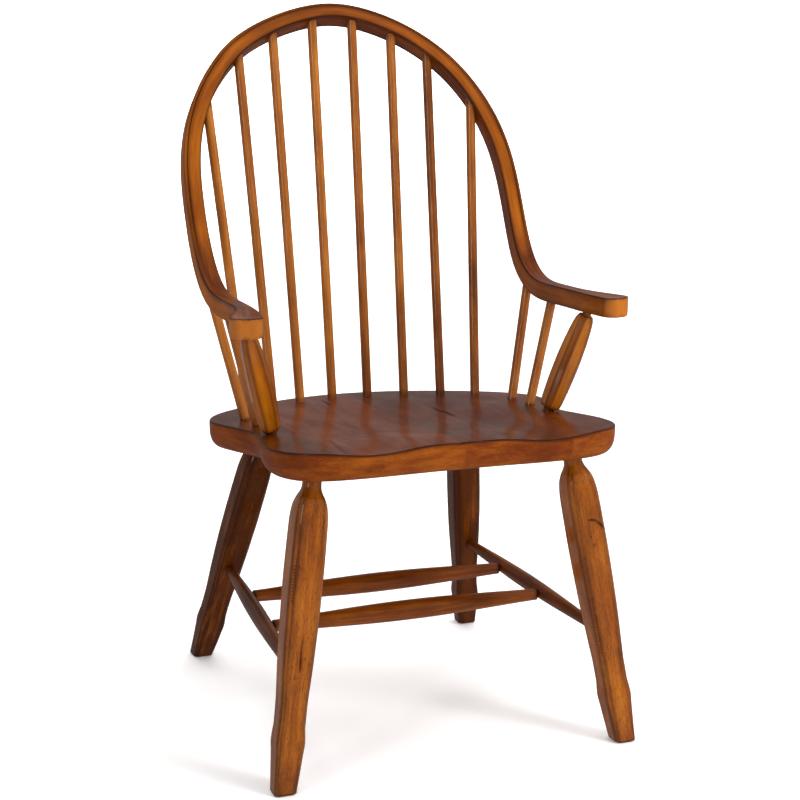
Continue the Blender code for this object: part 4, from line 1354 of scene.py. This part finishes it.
@dataclass
class Seat:
    """The saddled plank seat, glued from boards that run front to back."""

    thick: float = 0.0435
    outline_points: int = 560
    top_rings: int = 120
    board_edges: tuple[float, ...] = (-0.190, 0.0, 0.165)
    board_tones: tuple[float, ...] = (0.70, 0.25, 0.60, 0.40)
    side_figure: float = 0.22
    side_gloss: float = 0.25
    half_outline: tuple[tuple[float, float], ...] = (
        (0.000, -0.2920), (0.060, -0.2935), (0.115, -0.2960), (0.165, -0.2960), (0.208, -0.2900),
        (0.238, -0.2740), (0.258, -0.2470), (0.2665, -0.2130), (0.2655, -0.1750), (0.2585, -0.1350),
        (0.2510, -0.1010), (0.2485, -0.0730), (0.2535, -0.0430), (0.2640, -0.0070), (0.2745, 0.0310),
        (0.2795, 0.0610), (0.2730, 0.0930), (0.2550, 0.1260), (0.2265, 0.1580), (0.1870, 0.1895),
        (0.1410, 0.2175), (0.0900, 0.2400), (0.0450, 0.2520), (0.000, 0.2560),
    )
    edge_rings: tuple[tuple[float, float], ...] = (
        (0.0220, 0.0410), (0.0145, 0.0395), (0.0085, 0.0362), (0.0042, 0.0310), (0.0016, 0.0245),
        (0.0003, 0.0170), (0.0, 0.0090), (0.0, 0.0014), (0.0010, 0.0),
    )
    centre_y: float = -0.045
    bowl: tuple[float, float, float] = (0.009, 0.195, 0.200)
    thigh: tuple[float, float, float] = (0.0065, 0.135, 0.085)
    thigh_reach: tuple[float, float] = (0.020, -0.160)

    def dip(self, x: np.ndarray, y: np.ndarray) -> np.ndarray:
        """Carve the saddle.

        Args:
            x: places across, in the outline's own frame.
            y: places to the back, in the same frame.

        Returns:
            Depth below the deck at each place.
        """
        deep, half_wide, half_long = self.bowl
        away = (x / half_wide) ** 2 + ((y - self.centre_y) / half_long) ** 2
        hollow = deep * np.maximum(0.0, 1.0 - away) ** 2
        depth, centre, half = self.thigh
        side = ((np.abs(x) - centre) / half) ** 2
        fade = smooth_step(-y, -self.thigh_reach[0], -self.thigh_reach[1])
        return hollow + depth * np.maximum(0.0, 1.0 - side) ** 2 * fade

    def outline(self) -> tuple[np.ndarray, np.ndarray]:
        """Draw the seat's closed outline in plan.

        Returns:
            Its points, and the inward direction at each.
        """
        half = list(self.half_outline)
        closed = half + [(-x, y) for x, y in reversed(half[1:-1])]
        wrapped = np.array(closed[-4:] + closed + closed[:5])
        steps = np.linalg.norm(np.diff(wrapped, axis=0), axis=1)
        run = np.concatenate([[0.0], np.cumsum(steps)])
        total = run[4 + len(closed)] - run[4]
        where = run[4] + total * np.arange(self.outline_points) / self.outline_points
        plan = spline(run, wrapped, where)
        along = np.roll(plan, -1, axis=0) - np.roll(plan, 1, axis=0)
        along /= np.linalg.norm(along, axis=1)[:, None]
        return plan, np.stack([-along[:, 1], along[:, 0]], axis=1)

    def build(self, materials: dict[Wood, bpy.types.Material]) -> None:
        """Loft the side and the saddled top in one skin.

        Args:
            materials: the finished materials.
        """
        piece = Piece("seat", Wood.SEAT, materials)
        plan, inward = self.outline()
        table = np.array(self.edge_rings)
        run = np.concatenate([[0.0], np.cumsum(np.linalg.norm(np.diff(table, axis=0), axis=1))])
        fine = spline(run, table, np.linspace(0.0, run[-1], 34))
        rings = []
        full = table[0, 1]
        for inset, depth in np.maximum(fine, 0.0):
            flat = plan + inward * inset
            share = 1.0 - depth / full
            drop = depth * self.thick / full
            height = deck_height(flat[:, 1] - ORIGIN_Y) - drop - self.dip(flat[:, 0], flat[:, 1]) * share
            rings.append(np.column_stack([flat[:, 0], flat[:, 1] - ORIGIN_Y, height]))
        centre = np.array((0.0, self.centre_y))
        edge = plan + inward * table[-1, 0]
        for share in np.linspace(1.0, 0.0, self.top_rings + 1)[1:-1]:
            flat = centre + (edge - centre) * share
            height = deck_height(flat[:, 1] - ORIGIN_Y) - self.dip(flat[:, 0], flat[:, 1])
            rings.append(np.column_stack([flat[:, 0], flat[:, 1] - ORIGIN_Y, height]))
        mesh = loft_mesh("seat", np.array(rings))
        places = np.array([v.co for v in mesh.vertices])
        board = np.searchsorted(np.array(self.board_edges), places[:, 0])
        tones = np.array(self.board_tones)
        below = deck_height(places[:, 1]) - self.dip(places[:, 0], places[:, 1] + ORIGIN_Y) - places[:, 2]
        on_top = 1.0 - smooth_step(below, 0.0002, 0.0030)
        across = places[:, 0] * (self.side_figure + (1.0 - self.side_figure) * on_top)
        grain = np.stack([across + board * 0.37, places[:, 2] + board * 0.11, places[:, 1]], axis=1)
        # Painted shade: the top is tinted darker than the sides; the boards' tones are their own.
        tone_light_and_shade = (tones[board] - 0.5) * (0.4 + 0.6 * on_top) + 0.15 + 0.95 * on_top
        gloss = self.side_gloss + (1.0 - self.side_gloss) * on_top
        piece.finish(mesh, grain, mark_and_crease_shade=self.marks(places), tone_light_and_shade=tone_light_and_shade, gloss=gloss, edge_mm=2.0)

    def marks(self, places: np.ndarray) -> np.ndarray:
        """Draw the dark slashes of the photographed seat top and the painted shade of one crease.

        Args:
            places: place of each vertex.

        Returns:
            Darkness at each vertex.
        """
        strokes = (Blemish((0.085, 0.030), (0.090, -0.050), 0.0034),
                   Blemish((-0.055, 0.180), (-0.060, 0.115), 0.0030),
                   Blemish((0.200, -0.160), (0.205, -0.175), 0.0026, 0.9),
                   # Painted shade along the crease by the left thigh hollow, sunk a little too.
                   Blemish((-0.175, -0.300), (-0.160, -0.175), 0.0032, 0.6))
        total = np.zeros(len(places))
        top = places[:, 2] > deck_height(places[:, 1]) - 0.02
        for stroke in strokes:
            total += np.where(top, stroke.cover(places[:, 0], places[:, 1]), 0.0)
        return np.clip(total, 0.0, 1.0)


@dataclass
class Studio:
    """White floor, soft light and the camera of the photograph."""

    camera_place: tuple[float, float, float] = (-0.90856, -2.43338, 1.06853)
    yaw: float = 0.36320
    pitch: float = -0.21995
    roll: float = 0.00737
    focal_mm: float = 76.05
    sensor_mm: float = 36.0
    room: float = 0.22
    overhead: float = 250.0
    key: float = 70.0
    strip: float = 11.0
    glint: float = 9.0

    def camera(self) -> None:
        """Stand the camera where the photograph was taken from."""
        forward = np.array((math.sin(self.yaw) * math.cos(self.pitch),
                            math.cos(self.yaw) * math.cos(self.pitch), math.sin(self.pitch)))
        right = np.array((math.cos(self.yaw), -math.sin(self.yaw), 0.0))
        up = np.cross(right, forward)
        c, s = math.cos(self.roll), math.sin(self.roll)
        turned_right = c * right + s * up
        turned_up = -s * right + c * up
        place = self.camera_place
        rows = [(turned_right[i], turned_up[i], -forward[i], place[i]) for i in range(3)]
        data = bpy.data.cameras.new("camera")
        data.lens = self.focal_mm
        data.sensor_width = self.sensor_mm
        made = bpy.data.objects.new("camera", data)
        bpy.context.scene.collection.objects.link(made)
        made.matrix_world = Matrix(rows + [(0.0, 0.0, 0.0, 1.0)])
        bpy.context.scene.camera = made

    def light(self, name: str, place: tuple[float, float, float], aim: tuple[float, float, float],
              size: tuple[float, float], power: float) -> None:
        """Hang one soft rectangular light.

        Args:
            name: name of the light.
            place: where it hangs.
            aim: the point that it faces.
            size: width and length of its face, in metres.
            power: watts.
        """
        data = bpy.data.lights.new(name, "AREA")
        data.shape = "RECTANGLE"
        data.size, data.size_y = size
        data.energy = power
        made = bpy.data.objects.new(name, data)
        bpy.context.scene.collection.objects.link(made)
        made.location = place
        made.rotation_mode = "QUATERNION"
        made.rotation_quaternion = (Vector(aim) - Vector(place)).to_track_quat("-Z", "Y")
        # The wide lights would wash the lacquer out, so only the strips show in it.
        made.visible_glossy = name.startswith("strip")

    def sheet(self, name: str, corners: list[tuple[float, float, float]], colour: str,
              glow: float) -> None:
        """Lay or stand one plain matt sheet that isn't part of the chair.

        Args:
            name: name of the sheet.
            corners: its four corners.
            colour: its hex colour.
            glow: strength of its own light.
        """
        mesh = bpy.data.meshes.new(name)
        mesh.from_pydata(corners, [], [(0, 1, 2, 3)])
        made = bpy.data.objects.new(name, mesh)
        bpy.context.scene.collection.objects.link(made)
        paper = bpy.data.materials.new("white_paper_" + name)
        paper.use_nodes = True
        shader = paper.node_tree.nodes["Principled BSDF"]
        shader.inputs["Base Color"].default_value = linear(colour)
        shader.inputs["Roughness"].default_value = 0.9
        shader.inputs["Specular IOR Level"].default_value = 0.2
        shader.inputs["Emission Color"].default_value = (1.0, 1.0, 1.0, 1.0)
        shader.inputs["Emission Strength"].default_value = glow
        mesh.materials.append(paper)
        # A white sheet mirrored in the lacquer turns the wood milky.
        made.visible_glossy = False

    def build(self) -> None:
        """Build floor, backdrop, lights, world and camera."""
        self.camera()
        self.sheet("floor", [(-30.0, -30.0, -0.0005), (30.0, -30.0, -0.0005),
                             (30.0, 30.0, -0.0005), (-30.0, 30.0, -0.0005)], "#fbfbfb", 0.15)
        self.sheet("backdrop", [(-3.5, 7.6, -0.01), (7.6, 3.4, -0.01),
                                (7.6, 3.4, 5.0), (-3.5, 7.6, 5.0)], "#fbfbfb", 1.0)
        world = bpy.data.worlds.new("studio")
        world.use_nodes = True
        back = world.node_tree.nodes["Background"]
        back.inputs["Color"].default_value = (1.0, 1.0, 1.0, 1.0)
        back.inputs["Strength"].default_value = self.room
        bpy.context.scene.world = world
        bpy.context.scene.view_settings.view_transform = "Standard"
        self.light("overhead", (1.0, 2.6, 3.2), (1.0, 2.6, 0.0), (4.5, 9.0), self.overhead)
        self.light("key_right", (1.9, -2.4, 1.9), (0.0, 0.0, 0.5), (1.1, 2.2), self.key)
        self.light("strip_left", (-2.3, -1.5, 1.6), (0.0, 0.0, 0.5), (0.35, 1.6), self.strip)
        self.light("strip_right", (1.9, -2.4, 1.9), (0.0, 0.0, 0.5), (0.2, 1.5), self.glint)


def main() -> None:
    """Build every piece in order and report it."""
    logging.basicConfig(level=logging.INFO, format="%(message)s")
    materials = {wood: finish.build() for wood, finish in FINISHES.items()}
    Studio().build()
    Seat().build(materials)
    Bow().build(materials)
    TurnedPieces().build(materials)
    Legs().build(materials)
    ArmPosts().build(materials)


if __name__ == "__main__":
    main()
